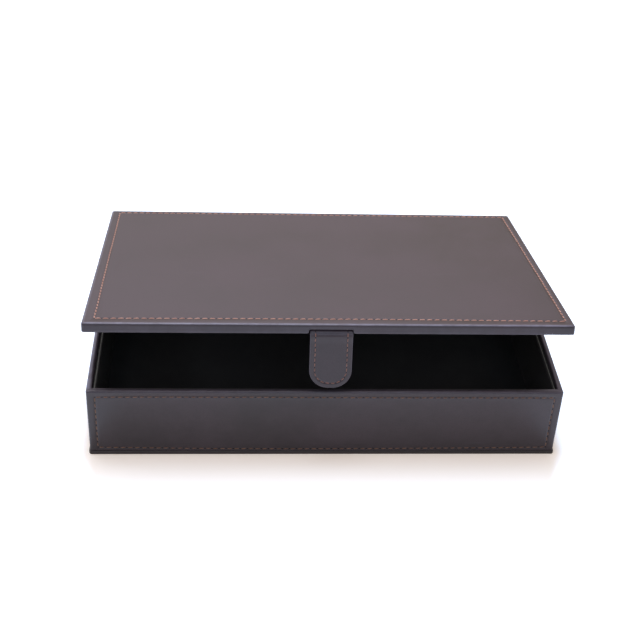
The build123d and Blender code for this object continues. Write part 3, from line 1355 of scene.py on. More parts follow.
    def outer(self, skin: Skin, plan: RingPlan, height: float) -> list[int]:
        """Adds a ring on the outer faces, drawn in along the stitches.

        Args:
            skin: The cover's surface.
            plan: Its columns.
            height: The ring's plain height.

        Returns:
            The numbers of its points.
        """
        points = []
        for station in plan.stations(self.outline):
            if station.side is None:
                points.append((station.x, station.y, height))
                continue
            seam, outward = self.seam(station.side), station.side.outward
            z = self.raised(seam, station.along, height)
            drawn = self.groove.at(seam.distance(station.along, z))
            points.append((station.x - outward[0] * drawn, station.y - outward[1] * drawn, z))
        return skin.row(points)

    def stitching(self, side: Side) -> Piece:
        """Sews one wall.

        Args:
            side: Which wall.

        Returns:
            The wall's stitching.
        """
        across, outward = side.across, side.outward
        out = self.outline.back if side in (Side.FRONT, Side.BACK) else self.outline.right

        def lay(u: float, v: float, w: float) -> Point:
            """Lays a place on the wall."""
            return (across[0] * u + outward[0] * (out + w), across[1] * u + outward[1] * (out + w), v)

        size = {"gap": 0.9, "radius": 0.36, "crown": -0.24, "hole_size": 0.85}
        sewing = Stitching(f"{side.value}_wall_stitches", lay, thread=WALL_THREAD, **size)
        for row in self.seam(side).rows():
            sewing.sew(row)
        return sewing.build()

    def build(self) -> None:
        """Builds the cover and the four walls' stitching."""
        dress(self.cover(), "box", [f"{side.value}_leather" for side in Side])
        for side in Side:
            dress(self.stitching(side), "box", [f"{side.value}_seam"])


@dataclass
class BasePanel:
    """The leather-covered panel that the walls stand on."""

    corner: float = 2.0
    rounding: float = 0.7
    under_rounding: float = 0.4
    under_share: float = 0.5
    top_inset: float = 6.0
    edge_rub: float = 0.6
    spacing: int = 50

    def build(self) -> None:
        """Builds the panel with rounded edges."""
        low, high = node_box("base_cover")
        outline = Rectangle(low.x, high.x, low.y, high.y, self.corner)
        plan = RingPlan.even(outline, self.spacing)
        edge = [(inset, low.z + short) for inset, short in reversed(arc(self.under_rounding, 4))]
        edge += [(inset, high.z - short) for inset, short in arc(self.rounding, 5)]
        skin = Skin()
        rows = [skin.level(plan, outline.shrunk(self.under_share), low.z)]
        rows += [skin.level(plan, outline.inset(inset), height, self.edge_rub) for inset, height in edge]
        rows.append(skin.level(plan, outline.inset(self.top_inset, 0.0), high.z))
        skin.loft(rows)
        skin.face(rows[0][::-1])
        skin.face(rows[-1])
        dress(skin.build("base_panel", [UNDER_LEATHER.material()]), "box", ["base_cover"])


@dataclass
class Lining:
    """The black flocked lining: a floor and four upright liners with soft top edges."""

    soft_edge: float = 0.5
    outer_softness: float = 0.6
    # The middle of the liners' top takes the full edge colour, a painted highlight line.
    top_rings: tuple[Spot, ...] = ((0.3, 0.0), (0.48, 1.0), (0.66, 0.0))
    upright_rings: tuple[float, ...] = (0.9, 0.7, 0.5, 0.3, 0.1)
    floor_fillet: float = 0.8
    inner_corner: float = 0.7
    waver: float = 0.06
    waver_lengths: Point = (31.0, 23.0, 9.0)
    still_top: float = 2.0
    floor_rings: tuple[float, ...] = (0.99, 0.97, 0.9, 0.8, 0.65, 0.5, 0.35, 0.2, 0.08)
    floor_drop: float = 0.1
    floor_swell: Swell = Swell(0.1, (29.0, 24.0), (0.6, 1.1))
    spacing: int = 25

    def __post_init__(self) -> None:
        """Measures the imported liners."""
        self.outline, (self.foot, self.top), self.thickness = standing_ring("liner_flock")

    def ring(self, skin: Skin, plan: RingPlan, inset: float, height: float, rub: float) -> list[int]:
        """Adds a ring of the liners, whose inner faces waver a little below the top.

        Args:
            skin: The liners' surface.
            plan: Their columns.
            inset: How far in from the outer faces the ring is.
            height: How high it is.
            rub: How much of an edge it is.

        Returns:
            The numbers of its points.
        """
        corner = self.inner_corner * inset / self.thickness
        inside = height < self.top - self.still_top and inset > self.thickness / 2
        wide, deep, tall = self.waver_lengths
        points = []
        for s in plan.stations(self.outline.inset(inset, corner)):
            stray = self.waver * math.sin(s.x / wide + s.y / deep + height / tall) if inside else 0.0
            points.append((s.x + stray, s.y + stray, height))
        return skin.row(points, rub)

    def liners(self) -> Piece:
        """Builds the four upright liners as one ring.

        Returns:
            The liners.
        """
        foot, top, thickness, share = self.foot, self.top, self.thickness, self.outer_softness
        outer, inner = arc(self.soft_edge, 4), reversed(arc(self.soft_edge, 5))
        rings = [(0.0, foot, 0.0)]
        rings += [(inset * share, top - short * share, 0.0) for inset, short in outer]
        rings += [(thickness * across, top, rub) for across, rub in self.top_rings]
        rings += [(thickness - inset, top - short, 0.0) for inset, short in inner]
        rings += [(thickness, foot + (top - foot) * up, 0.0) for up in self.upright_rings]
        rings += [(thickness + inset, foot + short, 0.0) for inset, short in arc(self.floor_fillet, 3)]
        skin, plan = Skin(), RingPlan.even(self.outline, self.spacing)
        skin.loft([self.ring(skin, plan, *ring) for ring in rings], looped=True)
        return skin.build("wall_liners", [FLOCK.material()])

    def floor(self) -> Piece:
        """Builds the flocked floor, with the slight swell that glued flock has.

        Returns:
            The floor.
        """
        low, high = node_box("floor_flock")
        plan = RingPlan.even(Rectangle(low.x, high.x, low.y, high.y), self.spacing)
        top = high.z - self.floor_drop
        skin = Skin()
        rows = [skin.level(plan, plan.outline, low.z), skin.level(plan, plan.outline, top)]
        rows += skin.swollen(plan, self.floor_rings, top, self.floor_swell)
        skin.loft(rows)
        skin.face(rows[0][::-1])
        skin.face(rows[-1])
        return skin.build("floor_lining", [FLOCK.material()])

    def build(self) -> None:
        """Builds the lining of the box."""
        dress(self.liners(), "box", [f"{side.value}_liner_flock" for side in Side])
        dress(self.floor(), "box", ["floor_flock"])


@dataclass
class Lid:
    """The leather-covered lid board with its notch for the tab, its stitching and its lining."""

    hinge: LidHinge
    corner: float = 1.8
    rounding: float = 1.4
    under_rounding: float = 0.5
    under_insets: tuple[float, ...] = (1.4, 2.4, 4.0, 6.0, 8.5)
    seam_waver: float = 0.16
    seam_bow: float = 1.1
    seam_lean: float = 1.1
    seam_corner: float = 0.2
    seam_outer_corner: float = 0.25
    top_rings: tuple[float, ...] = (0.1, 0.3, 0.5, 0.7, 0.85, 0.93, 0.97)
    top_border: float = 0.8
    thread_width: float = 0.9
    notch_height: float = 3.0
    notch_lip: float = 1.3
    notch_inner: float = 0.6
    notch_clearance: float = 0.4
    notch_depth: float = 11.0
    notch_wall: float = 0.3
    beside_notch: float = 1.5
    middle: float = 40.0
    centre_columns: tuple[float, ...] = (4.0, 8.0, 12.0, 20.0, 30.0)
    beside_seam: float = 4.0
    side_columns: int = 5
    along_spacing: int = 20
    ripples: tuple[tuple[float, float, float, float], ...] = (
        (0.03, 41.0, 33.0, 0.0),
        (0.025, 17.0, -27.0, 1.3),
    )
    highlight_centre: float = 0.18
    highlight_spread: float = 0.36
    side_rub: float = 0.1
    under_rub: float = 0.2
    lining_corner: float = 1.2
    lining_rounding: float = 0.7
    # The lid lining's rounded edge takes part of the edge colour, a painted highlight.
    lining_glint: float = 0.3
    lining_rings: tuple[float, ...] = (0.97, 0.9, 0.75, 0.55, 0.35, 0.15)
    lining_swell: Swell = Swell(0.06, (37.0, 29.0), (0.0, 0.4))
    lining_spacing: int = 25
    groove: Groove = field(default_factory=lambda: Groove(0.28, 0.8, 0.05))

    def __post_init__(self) -> None:
        """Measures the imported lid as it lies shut."""
        low, high = self.hinge.shut_box("lid_leather")
        self.outline = Rectangle(low.x, high.x, low.y, high.y, self.corner)
        self.underside, self.top = low.z, high.z
        strap_low, strap_high = self.hinge.shut_box("tab_strap")
        self.notch_half = (strap_high.x - strap_low.x) / 2 + self.notch_clearance
        low, high = self.hinge.shut_box("lid_seam")
        half = self.thread_width / 2
        front, back = low.y + half + self.seam_bow / 2, high.y - half
        uneven = (-self.seam_bow, self.seam_waver, self.seam_lean)
        self.seam = SewnRectangle(low.x + half, high.x - half, front, back, *uneven)

    def lip(self) -> list[Spot]:
        """Gives the notch's right-hand side, from the plain underside in to the notch's roof.

        Returns:
            For each column, its place across the lid and how far the underside is raised there.
        """
        wide, lip, inner = self.notch_half, self.notch_lip, self.notch_inner
        found = [(wide + lip + self.beside_notch, 0.0)]
        for turn in (math.radians(15.0 * step) for step in range(7)):
            found.append((wide + lip - lip * math.sin(turn), lip - lip * math.cos(turn)))
        for turn in (math.radians(22.5 * step) for step in range(5)):
            up = self.notch_height - inner + inner * math.sin(turn)
            found.append((wide - inner + inner * math.cos(turn), up))
        return found

    def raised(self, x: float) -> float:
        """Gives how far the underside is raised at a place across the lid.

        Args:
            x: The place.

        Returns:
            The notch's height over it, or 0 beside the notch.
        """
        columns = sorted(self.lip())
        if abs(x) <= columns[0][0]:
            return self.notch_height
        for (near_x, near_up), (far_x, far_up) in zip(columns, columns[1:]):
            if near_x <= abs(x) <= far_x:
                share = (abs(x) - near_x) / max(far_x - near_x, 1e-6)
                return near_up + (far_up - near_up) * share
        return 0.0

    def ripple(self, x: float, y: float) -> float:
        """Gives the slight unevenness of leather glued over a wide board."""
        return sum(up * math.sin(x / wide + y / deep + start) for up, wide, deep, start in self.ripples)

    def columns(self) -> tuple[float, ...]:
        """Gives the places of the mesh columns across the lid.

        Returns:
            The places, from left to right.
        """
        seam = near(self.seam.right, SEAM_STEPS[::2])
        count, reach = self.side_columns, self.seam.right - self.beside_seam - self.middle
        far = [self.middle + reach * number / count for number in range(1, count + 1)]
        notch = sorted({round(place, 4) for place, _ in self.lip()})
        right = sorted([*self.centre_columns, self.middle, *notch, *far, *seam])
        return tuple([-place for place in reversed(right)] + [0.0] + right)

    def upper_rings(self) -> list[Rectangle]:
        """Gives the rings of the lid's top.

        Returns:
            Their rectangles, from the middle out to the rounding.
        """
        seam = Rectangle(self.seam.left, self.seam.right, self.seam.low, self.seam.high, self.seam_corner)
        rings = [seam.shrunk(share) for share in self.top_rings]
        rings += [seam.inset(-step, self.seam_outer_corner) for step in SEAM_STEPS]
        return [*rings, self.outline.inset(self.rounding + self.top_border)]

    def cover(self) -> Piece:
        """Builds the lid's cover, with the notch for the tab cut up into its front edge.

        Returns:
            The cover.
        """
        reach = EVEN_REACH[1]
        places = near(self.seam.high, SEAM_STEPS[::2]) + near(self.seam.low, SEAM_STEPS[::2])
        places += [float(place) for place in range(-reach, reach + 1, self.along_spacing)]
        upper = RingPlan(self.outline, self.columns(), tuple(sorted(places)))
        under = RingPlan(self.outline, self.columns(), tuple(sorted(places)), self.middle)
        skin = Skin()
        rows = []
        for rectangle in self.upper_rings():
            points = []
            for s in upper.stations(rectangle):
                drawn = self.groove.at(self.seam.distance(s.x, s.y))
                points.append((s.x, s.y, self.top - drawn + self.ripple(s.x, s.y)))
            rows.append(skin.row(points))
        for inset, short in reversed(arc(self.rounding, 9)):
            ring = upper.stations(self.outline.inset(inset))
            # A painted highlight: a band of lighter edge colour along the top of the lid's rounded edge.
            highlight_band = bell(short, self.highlight_centre * self.rounding, self.highlight_spread * self.rounding)
            rub = [highlight_band * LID_CHAFE_AND_GLINT[s.side] for s in ring]
            rows.append(skin.row([(s.x, s.y, self.top - short) for s in ring], rub))
        low, high = self.underside + self.under_rounding, self.top - self.rounding
        rings = [(0.0, low + (high - low) * share, self.side_rub) for share in (0.75, 0.5, 0.25)]
        for inset, short in arc(self.under_rounding, 5):
            rings.append((inset, self.underside + short, self.under_rub))
        for inset in (*self.under_insets, self.notch_depth - self.notch_wall):
            rings.append((inset, self.underside, 0.0))
        rows += [self.lower(skin, under, *ring) for ring in rings]
        rows.append(skin.level(under, self.outline.inset(self.notch_depth), self.underside))
        skin.loft(rows)
        skin.face(rows[0])
        skin.face(rows[-1][::-1])
        return skin.build("lid_cover", [LEATHER.material()], self.hinge.opening())

    def lower(self, skin: Skin, plan: RingPlan, inset: float, height: float, rub: float) -> list[int]:
        """Adds a ring of the lid's lower half, raised where the notch is.

        Args:
            skin: The cover's surface.
            plan: Its columns.
            inset: How far in from the edge the ring is.
            height: Its plain height.
            rub: How much of an edge it is.

        Returns:
            The numbers of its points.
        """
        points = []
        fixed = self.top - self.rounding
        for s in plan.stations(self.outline.inset(inset)):
            up = self.raised(s.x) if s.side is Side.FRONT else 0.0
            squeezed = (fixed - self.underside - up) / (fixed - self.underside)
            points.append((s.x, s.y, fixed - (fixed - height) * squeezed))
        return skin.row(points, rub)

    def stitching(self) -> Piece:
        """Sews round the lid's top.

        Returns:
            The lid's stitching.
        """

        def lay(u: float, v: float, w: float) -> Point:
            """Lays a place on the lid's top."""
            return (u, v, self.top + self.ripple(u, v) + w)

        sewing = Stitching("lid_stitches", lay, pitch=5.05, gap=0.45, radius=0.5, hole_size=0.6)
        for row in self.seam.rows():
            sewing.sew(row)
        return sewing.build(self.hinge.opening())

    def lining(self) -> Piece:
        """Builds the flocked panel on the lid's underside.

        Returns:
            The panel.
        """
        low, high = self.hinge.shut_box("lid_lining_flock")
        outline = Rectangle(low.x, high.x, low.y, high.y, self.lining_corner)
        plan = RingPlan.even(outline, self.lining_spacing)
        skin = Skin()
        rows = [skin.level(plan, outline, high.z)]
        for inset, short in arc(self.lining_rounding, 4):
            rows.append(skin.level(plan, outline.inset(inset), low.z + short, self.lining_glint))
        rows += skin.swollen(plan, self.lining_rings, low.z, self.lining_swell)
        skin.loft(rows)
        skin.face(rows[0][::-1])
        skin.face(rows[-1])
        return skin.build("lid_lining", [FLOCK.material()], self.hinge.opening())

    def build(self) -> None:
        """Builds the lid's cover, stitching and lining."""
        dress(self.cover(), "lid", ["lid_leather"])
        dress(self.stitching(), "lid", ["lid_seam"])
        dress(self.lining(), "lid", ["lid_lining_flock"])


@dataclass
class Tab:
    """The closing tab: one leather strap from under the lid, over the bend and down the front."""

    hinge: LidHinge
    bend_inside: float = 0.2
    end_radius: float = 13.0
    edge_rounding: float = 0.85
    seam_inset: float = 3.7
    seam_start: float = 2.6
    aside: float = 0.45
    lean: float = 0.15
    end_lift: float = 0.7
    bulge: float = 0.62
    bulge_reach: float = 2.2
    hollow: float = 0.16
    hollow_at: float = 6.5
    hollow_width: float = 2.4
    end_turns: int = 14
    seam_turns: int = 16
    strap_shares: Point = (0.4, 0.75, 0.92)
    bend_start: float = 0.6
    bend_spacing: float = 0.22
    bend_count: int = 16
    down_count: int = 14
    down_crowding: float = 1.2
    face_insets: tuple[float, ...] = (5.2, 4.7, 4.3, 4.0, 3.7, 3.4, 3.1, 2.7, 2.0, 1.4)
    joint_line: tuple[Spot, Spot] = ((0.05, 0.1), (0.16, 0.0))
    face_from: float = 1.0
    edge_reach: float = 0.6
    edge_rub: float = 0.25
    # A painted highlight of lighter edge colour across the strap where it bends out of the notch.
    bend_glint_share: float = 0.16
    bend_glint_at: float = -0.3
    bend_glint_width: float = 1.3
    groove: Groove = field(default_factory=lambda: Groove(0.2, 0.6, 0.03))

    def __post_init__(self) -> None:
        """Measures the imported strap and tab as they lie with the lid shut."""
        strap = self.hinge.shut_box("tab_strap")
        front = self.hinge.shut_box("tab_front_leather")
        self.half_width = (front[1].x - front[0].x) / 2
        self.half_thick = (strap[1].z - strap[0].z) / 2
        self.strap_z = (strap[0].z + strap[1].z) / 2
        self.strap_back = strap[1].y
        self.face_y = front[0].y + self.half_thick
        self.end_z = front[0].z + self.end_lift
        self.bend_radius = self.bend_inside + self.half_thick
        self.bend_y = self.face_y + self.bend_radius
        self.bend_z = self.strap_z - self.bend_radius
        self.run = self.strap_back - self.bend_y
        self.round = self.bend_radius * math.pi / 2
        self.length = self.run + self.round + self.bend_z - self.end_z

    def lay(self, u: float, v: float, w: float) -> Point:
        """Lays a place of the flat strap along its real path.

        Args:
            u: The place across the strap.
            v: How far from the strap's inner end.
            w: How far out from the strap's middle.

        Returns:
            The place on the shut box.
        """
        if v <= self.run:
            return (u, self.strap_back - v, self.strap_z + w)
        if v <= self.run + self.round:
            turn = (v - self.run) / self.bend_radius
            out = self.bend_radius + w
            moved = u + self.aside * smooth(0.0, 1.0, turn)
            return (moved, self.bend_y - out * math.sin(turn), self.bend_z + out * math.cos(turn))
        down = v - self.run - self.round
        share = down / self.bulge_reach
        swelling = self.bulge * share * math.exp(1.0 - share)
        out = w + swelling - self.hollow * bell(down, self.hollow_at, self.hollow_width)
        moved = u + self.aside + self.lean * smooth(0.0, self.bend_z - self.end_z, down)
        return (moved, self.face_y - out, self.bend_z - down)

    def stretch(self) -> list[float]:
        """Gives the mesh stations along the strap's straight sides.

        Returns:
            The stations, from the strap's inner end to where the tab's round end starts.
        """
        bend = [self.run - self.bend_start + self.bend_spacing * step for step in range(self.bend_count)]
        after, count = bend[-1], self.down_count
        left = self.length - self.end_radius - after
        down = [after + left * (step / count) ** self.down_crowding for step in range(1, count)]
        return [0.0, *(self.run * share for share in self.strap_shares), *bend, *down]

    def rounded(self, side: list[Spot], radius: float, steps: int) -> list[Spot]:
        """Carries a line from the tab's left side round its end and up its right side.

        Args:
            side: The line's points down the left side.
            radius: The radius of its round end.
            steps: How many straight runs a quarter of the end has.

        Returns:
            The whole line.
        """
        centre_u, centre_v = self.half_width - self.end_radius, self.length - self.end_radius
        turns = [math.pi / 2 * step / steps for step in range(steps + 1)]
        end = [(-centre_u - radius * math.cos(t), centre_v + radius * math.sin(t)) for t in turns]
        return [*side, *end, *((-u, v) for u, v in reversed(side + end))]

    def loop(self, inset: float) -> list[Spot]:
        """Draws the strap's outline, drawn in, from its inner end's left corner round to the right one."""
        radius = max(self.end_radius - inset, 0.5)
        return self.rounded([(inset - self.half_width, v) for v in self.stretch()], radius, self.end_turns)

    def depth(self, v: float, inset: float) -> float:
        """Gives how deep the thread draws the leather in, by the places along and in from the edge."""
        sewn = smooth(self.run - self.seam_start - 1.0, self.run - self.seam_start + 1.0, v)
        return sewn * self.groove.at(abs(inset - self.seam_inset))

    def rub(self, v: float, inset: float) -> float:
        """Gives how much of an edge the leather is, by the places along the strap and in from its edge."""
        # The bend's share is a painted highlight; the edges' share is chafing.
        bend = self.bend_glint_share * bell(v - self.run - self.round, self.bend_glint_at, self.bend_glint_width)
        return max(self.edge_rub if inset < self.edge_reach else 0.0, bend)

    def leather(self) -> Piece:
        """Builds the whole strap, with rounded edges and a joint line along them.

        Returns:
            The strap.
        """
        thick = self.half_thick
        profile = [(inset, thick) for inset in self.face_insets]
        profile += [(short, thick - inset) for inset, short in arc(self.edge_rounding, 6)]
        profile += self.joint_line
        whole = profile + [(inset, -height) for inset, height in reversed(profile[:-1])]
        skin = Skin()
        rows = []
        for inset, height in whole:
            points, rub = [], []
            for u, v in self.loop(inset):
                drawn = math.copysign(self.depth(v, inset), height) if inset > self.face_from else 0.0
                points.append(self.lay(u, v, height - drawn))
                rub.append(self.rub(v, inset))
            rows.append(skin.row(points, rub))
        skin.loft(rows, closed=False)
        for row in (rows[0], rows[-1]):
            count = len(row)
            for i in range(count // 2 - 1):
                skin.face([row[i], row[i + 1], row[count - 2 - i], row[count - 1 - i]])
        skin.face([row[0] for row in rows] + [row[-1] for row in reversed(rows)])
        return skin.build("tab_leather", [LEATHER.material()], self.hinge.opening())

    def stitching(self) -> Piece:
        """Sews round the tab's edge, from the notch down and back up.

        Returns:
            The tab's stitching.
        """

        def lay(u: float, v: float, w: float) -> Point:
            """Lays a place on the strap's outer face."""
            return self.lay(u, v, self.half_thick + w)

        start, end = self.run - self.seam_start, self.length - self.end_radius
        steps = int(end - start)
        wide = self.half_width - self.seam_inset
        side = [(-wide, start + (end - start) * step / steps) for step in range(steps)]
        row = self.rounded(side, self.end_radius - self.seam_inset, self.seam_turns)
        size = {"pitch": 3.7, "gap": 0.75, "radius": 0.31, "crown": -0.12, "dive": 0.6, "slant": 4.0}
        sewing = Stitching("tab_stitches", lay, thread=TAB_SHADED_THREAD, **size)
        sewing.sew(row[::-1])
        return sewing.build(self.hinge.opening())

    def bending(self, piece: Piece, nodes: list[str]) -> None:
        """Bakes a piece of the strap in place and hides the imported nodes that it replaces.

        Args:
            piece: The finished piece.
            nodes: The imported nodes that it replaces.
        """
        turned = self.hinge.opening()
        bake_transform(piece)
        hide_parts(*nodes)
        LOG.info("%s bends between lid and tab with %d points", piece.name, len(piece.data.vertices))

    def build(self) -> None:
        """Builds the tab's leather and stitching."""
        self.bending(self.leather(), ["tab_strap", "tab_front_leather", "tab_back_leather"])
        self.bending(self.stitching(), ["tab_seam"])


@dataclass
class HingeFold:
    """The thin leather fold between the back wall's rim and the lid, which the lid turns on."""

    hinge: LidHinge
    leaf: float = 2.6
    thin: float = 0.2
    leaf_end: float = 0.75
    fold: tuple[Spot, ...] = ((0.4, 0.17), (0.25, 0.3), (0.4, 0.46))
    bend: Spot = (0.2, 0.45)

    def build(self) -> None:
        """Builds the fold as a strip with two leaves and a rounded back."""
        low, high = node_box("hinge_fold")
        lid_low, _ = self.hinge.shut_box("lid_leather")
        opening = self.hinge.opening()
        rim, back, half = low.z, high.y, self.thin / 2
        front = back - self.leaf
        places = (front, front + self.leaf * 0.5, back - self.leaf_end)
        line = [(y, rim + half) for y in places]
        line += [(back - inset, rim + up) for inset, up in self.fold]
        for y in reversed(places):
            point = opening @ Vector((0.0, y, lid_low.z - half))
            line.append((point.y, point.z))
        skin = Skin()
        rows = []
        for y, z in self.around(line, half):
            rows.append(skin.row([(x, y, z) for x in (low.x, low.x * 0.5, 0.0, high.x * 0.5, high.x)]))
        skin.loft(rows, looped=True, closed=False)
        skin.face([row[0] for row in rows])
        skin.face([row[-1] for row in reversed(rows)])
        piece = skin.build("hinge_leather", [LEATHER.material()])
        start, end = ((0.0, back * MM, (rim + up) * MM) for up in self.bend)
        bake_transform(piece)
        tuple(start)
        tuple(end)
        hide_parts("hinge_fold")
        LOG.info("%s bends between box and lid", piece.name)

    def around(self, line: list[Spot], half: float) -> list[Spot]:
        """Draws the outline of a thin strip about its middle line.

        Args:
            line: The middle line's points.
            half: Half the strip's thickness.

        Returns:
            The outline, down one side and back up the other.
        """
        first, second = [], []
        for number, point in enumerate(line):
            before = line[max(number - 1, 0)]
            after = line[min(number + 1, len(line) - 1)]
            run = math.dist(before, after)
            aside = (-(after[1] - before[1]) / run * half, (after[0] - before[0]) / run * half)
            first.append((point[0] + aside[0], point[1] + aside[1]))
            second.append((point[0] - aside[0], point[1] - aside[1]))
        return first + second[::-1]


class HiddenParts:
    """The boards, cards, stiffener and magnets that the leather and lining cover."""

    def build(self) -> None:
        """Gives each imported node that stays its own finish."""
        for name, node in frame["nodes"].items():
            for place in node.material_slots:
                finish = HIDDEN_FINISHES.get(place.material.name)
                if finish is not None:
                    place.material = finish.material()
                    LOG.info("%s keeps its solid and takes %s", name, finish.name)


@dataclass(frozen=True)
class AreaLamp:
    """A soft square lamp."""

    name: str
    place: Point
    size: float
    power: float
    colour: Colour

    def build(self, target: Vector) -> None:
        """Hangs the lamp so that it faces the box.

        Args:
            target: The place that it faces, in metres.
        """
        data = bpy.data.lights.new(self.name, "AREA")
        data.shape = "SQUARE"
        data.size = self.size
        data.energy = self.power
        data.color = self.colour
        lamp = bpy.data.objects.new(self.name, data)
        lamp.location = self.place
        lamp.rotation_mode = "QUATERNION"
        lamp.rotation_quaternion = (target - Vector(self.place)).to_track_quat("-Z", "Y")
        bpy.context.scene.collection.objects.link(lamp)


@dataclass
class Studio:
    """A white floor, soft lamps and the camera that took the photograph."""

    camera_place: Point = (-0.06583, -0.78669, 0.59236)
    camera_turn: Point = (54.7809, -2.6120, -3.0518)
    lens: float = 70.5397
    sensor: float = 36.0
    sharp_from: float = 0.01
    sharp_to: float = 50.0
    floor_half: float = 6.0
    floor_shares: tuple[float, ...] = (-1.0, -0.4, -0.1, 0.1, 0.4, 1.0)
    floor_colour: Colour = (0.88, 0.885, 0.9)
    # The floor's glow close to the box, warmer and dimmer than further out: a painted shadow.
    painted_shadow_glow: Colour = (0.345, 0.27, 0.21)
    far_lift: Colour = (0.72, 0.86, 1.1)
    footprint: Spot = (0.166, 0.115)
    lift_reach: float = 0.1
    side_haste: float = 7.0
    taper: float = 0.45
    # Painted shade in reflections: glossy rays see less of the floor close to the box and none of it well
    # behind.
    near_mirrored: float = 0.25
    behind: Spot = (0.0, 0.25)
    ambient: float = 0.34
    room_colour: Colour = (1.0, 0.91, 0.82)
    left_colour: Colour = (1.08, 0.99, 1.08)
    right_colour: Colour = (0.29, 0.2, 0.05)
    right_slant: float = -5.0
    right_edge: Spot = (-1.1, -0.1)
    camera_side: Colour = (0.12, 0.12, 0.15)
    camera_edge: Spot = (-0.85, -0.25)
    lamp_target: Point = (0.0, 0.0, 0.05)
    lamps: tuple[AreaLamp, ...] = (
        AreaLamp("overhead_softbox", (-0.15, 0.2, 1.6), 0.9, 17.0, (0.93, 0.95, 1.0)),
        AreaLamp("left_window", (-1.4, -0.3, 0.7), 0.9, 2.5, (0.74, 0.82, 1.0)),
        AreaLamp("front_window", (0.1, -1.7, 1.2), 1.0, 5.0, (0.62, 0.8, 1.0)),
        AreaLamp("far_panel", (0.05, 1.9, 1.16), 1.2, 3.1, (0.95, 0.84, 1.0)),
    )

    def camera(self) -> None:
        """Sets up the camera."""
        data = bpy.data.cameras.new("photograph_camera")
        data.sensor_width = self.sensor
        data.lens = self.lens
        data.clip_start, data.clip_end = self.sharp_from, self.sharp_to
        camera = bpy.data.objects.new("photograph_camera", data)
        camera.location = self.camera_place
        camera.rotation_euler = [math.radians(turn) for turn in self.camera_turn]
        bpy.context.scene.collection.objects.link(camera)
        bpy.context.scene.camera = camera

    def background_share(self, sheet: Sheet, mirrored: object = 1.0) -> Socket:
        """Tells rays that see the background from rays that only light the object.

        Args:
            sheet: The material's or world's sheet.
            mirrored: How much of the background a glossy ray sees.

        Returns:
            1 for camera and transmission rays and the mirrored share for glossy rays, otherwise 0.
        """
        path = sheet.add("ShaderNodeLightPath")
        glossy = sheet.math("MULTIPLY", path.outputs["Is Glossy Ray"], mirrored)
        seen = sheet.math("ADD", path.outputs["Is Camera Ray"], glossy)
        return sheet.math("ADD", seen, path.outputs["Is Transmission Ray"])

    def shadow_fade(self, sheet: Sheet, parts: Outputs) -> Socket:
        """Tells the floor close to the box, where a painted shadow dims its glow, from the floor further out.

        Args:
            sheet: The floor material's sheet.
            parts: The place on the floor, as X, Y and Z.

        Returns:
            0 at the box's foot, rising to 1 further out.
        """
        beyond = []
        for name, half in zip("XY", self.footprint):
            size = sheet.add("ShaderNodeMath", {0: parts[name]}, operation="ABSOLUTE").outputs[0]
            beyond.append(sheet.scale_add(size, 1.0, -half))
        aside = sheet.scale_add(sheet.math("MAXIMUM", beyond[1], 0.0), self.taper, beyond[0])
        reach = sheet.math("MAXIMUM", sheet.scale_add(aside, self.side_haste, 0.0), beyond[1])
        return sheet.carry(reach, (0.0, self.lift_reach))

    def floor(self) -> None:
        """Lays the white floor, which keeps the box's shadow from the lamps and adds a warm painted shadow
        close in front of the box.
        """
        skin = Skin()
        steps = [self.floor_half / MM * share for share in self.floor_shares]
        skin.loft([skin.row([(x, y, 0.0) for x in steps]) for y in steps], closed=False)
        paper = bpy.data.materials.new("white_floor")
        paper.use_nodes = True
        sheet = Sheet(paper.node_tree)
        out = sheet.add("ShaderNodeOutputMaterial")
        matt = sheet.add("ShaderNodeBsdfDiffuse", {"Color": self.floor_colour})
        where = sheet.add("ShaderNodeTexCoord").outputs["Object"]
        parts = sheet.add("ShaderNodeSeparateXYZ", {0: where}).outputs
        # A painted shadow: the floor's glow, and what glossy rays see of it, fade down close to the box.
        shadow_fade = self.shadow_fade(sheet, parts)
        colour = sheet.blend(shadow_fade, self.painted_shadow_glow, self.far_lift)
        before = sheet.carry(parts["Y"], self.behind, 1.0, 0.0)
        mirrored = sheet.math("MULTIPLY", sheet.carry(shadow_fade, WHOLE, self.near_mirrored, 1.0), before)
        share = self.background_share(sheet, mirrored)
        glow = sheet.add("ShaderNodeEmission", {"Color": colour, "Strength": share})
        both = sheet.add("ShaderNodeAddShader", {0: matt.outputs[0], 1: glow.outputs[0]})
        sheet.feed(out.inputs["Surface"], both.outputs[0])
        skin.build("studio_floor", [paper])

    def world(self) -> None:
        """Lights the room evenly, makes it white to the camera, and dims its far right in reflections."""
        world = bpy.data.worlds.new("white_room")
        world.use_nodes = True
        bpy.context.scene.world = world
        sheet = Sheet(world.node_tree)
        out = sheet.add("ShaderNodeOutputWorld")
        share = self.background_share(sheet)
        glossy = sheet.add("ShaderNodeLightPath").outputs["Is Glossy Ray"]
        way = sheet.add("ShaderNodeTexCoord").outputs["Generated"]
        parts = sheet.add("ShaderNodeSeparateXYZ", {0: way}).outputs
        right = sheet.carry(sheet.scale_add(parts["Z"], self.right_slant, parts["X"]), self.right_edge)
        beyond = sheet.carry(parts["Y"], self.camera_edge)
        sides = sheet.blend(right, self.left_colour, self.right_colour)
        mirrored = sheet.blend(beyond, self.camera_side, sides)
        shown = sheet.blend(glossy, (1.0, 1.0, 1.0), mirrored)
        level = sheet.add("ShaderNodeMix", {"Factor": share, 2: self.ambient, 3: 1.0}).outputs[0]
        colour = sheet.blend(share, self.room_colour, shown)
        room = sheet.add("ShaderNodeBackground", {"Color": colour, "Strength": level})
        sheet.feed(out.inputs["Surface"], room.outputs[0])

    def build(self) -> None:
        """Builds the camera, floor, room and lamps."""
        self.camera()
        self.floor()
        self.world()
        for lamp in self.lamps:
            lamp.build(Vector(self.lamp_target))
        bpy.context.scene.view_settings.view_transform = "Standard"
        LOG.info("studio with %d lamps", len(self.lamps))


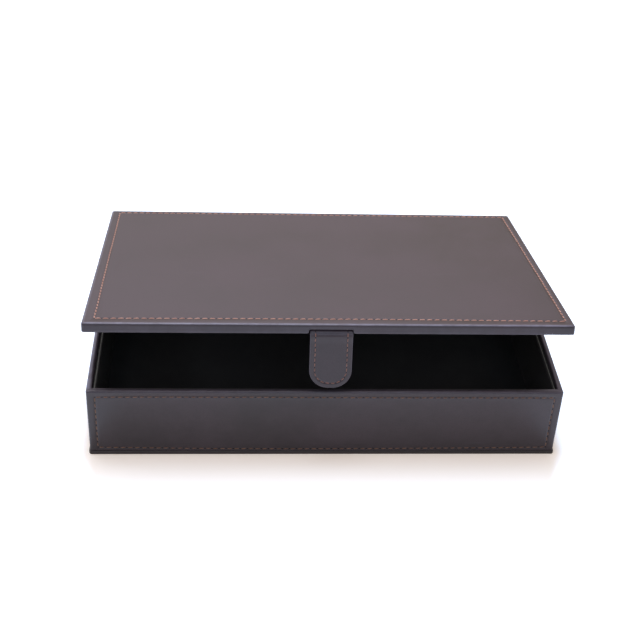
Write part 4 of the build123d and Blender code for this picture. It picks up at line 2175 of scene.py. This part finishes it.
def main() -> None:
    """Builds the whole look, one sub-assembly after another."""
    logging.basicConfig(level=logging.INFO, format="%(name)s: %(message)s")
    Studio().build()
    hinge = LidHinge()
    WallCover().build()
    BasePanel().build()
    Lining().build()
    Lid(hinge).build()
    Tab(hinge).build()
    HingeFold(hinge).build()
    HiddenParts().build()


if __name__ == "__main__":
    main()
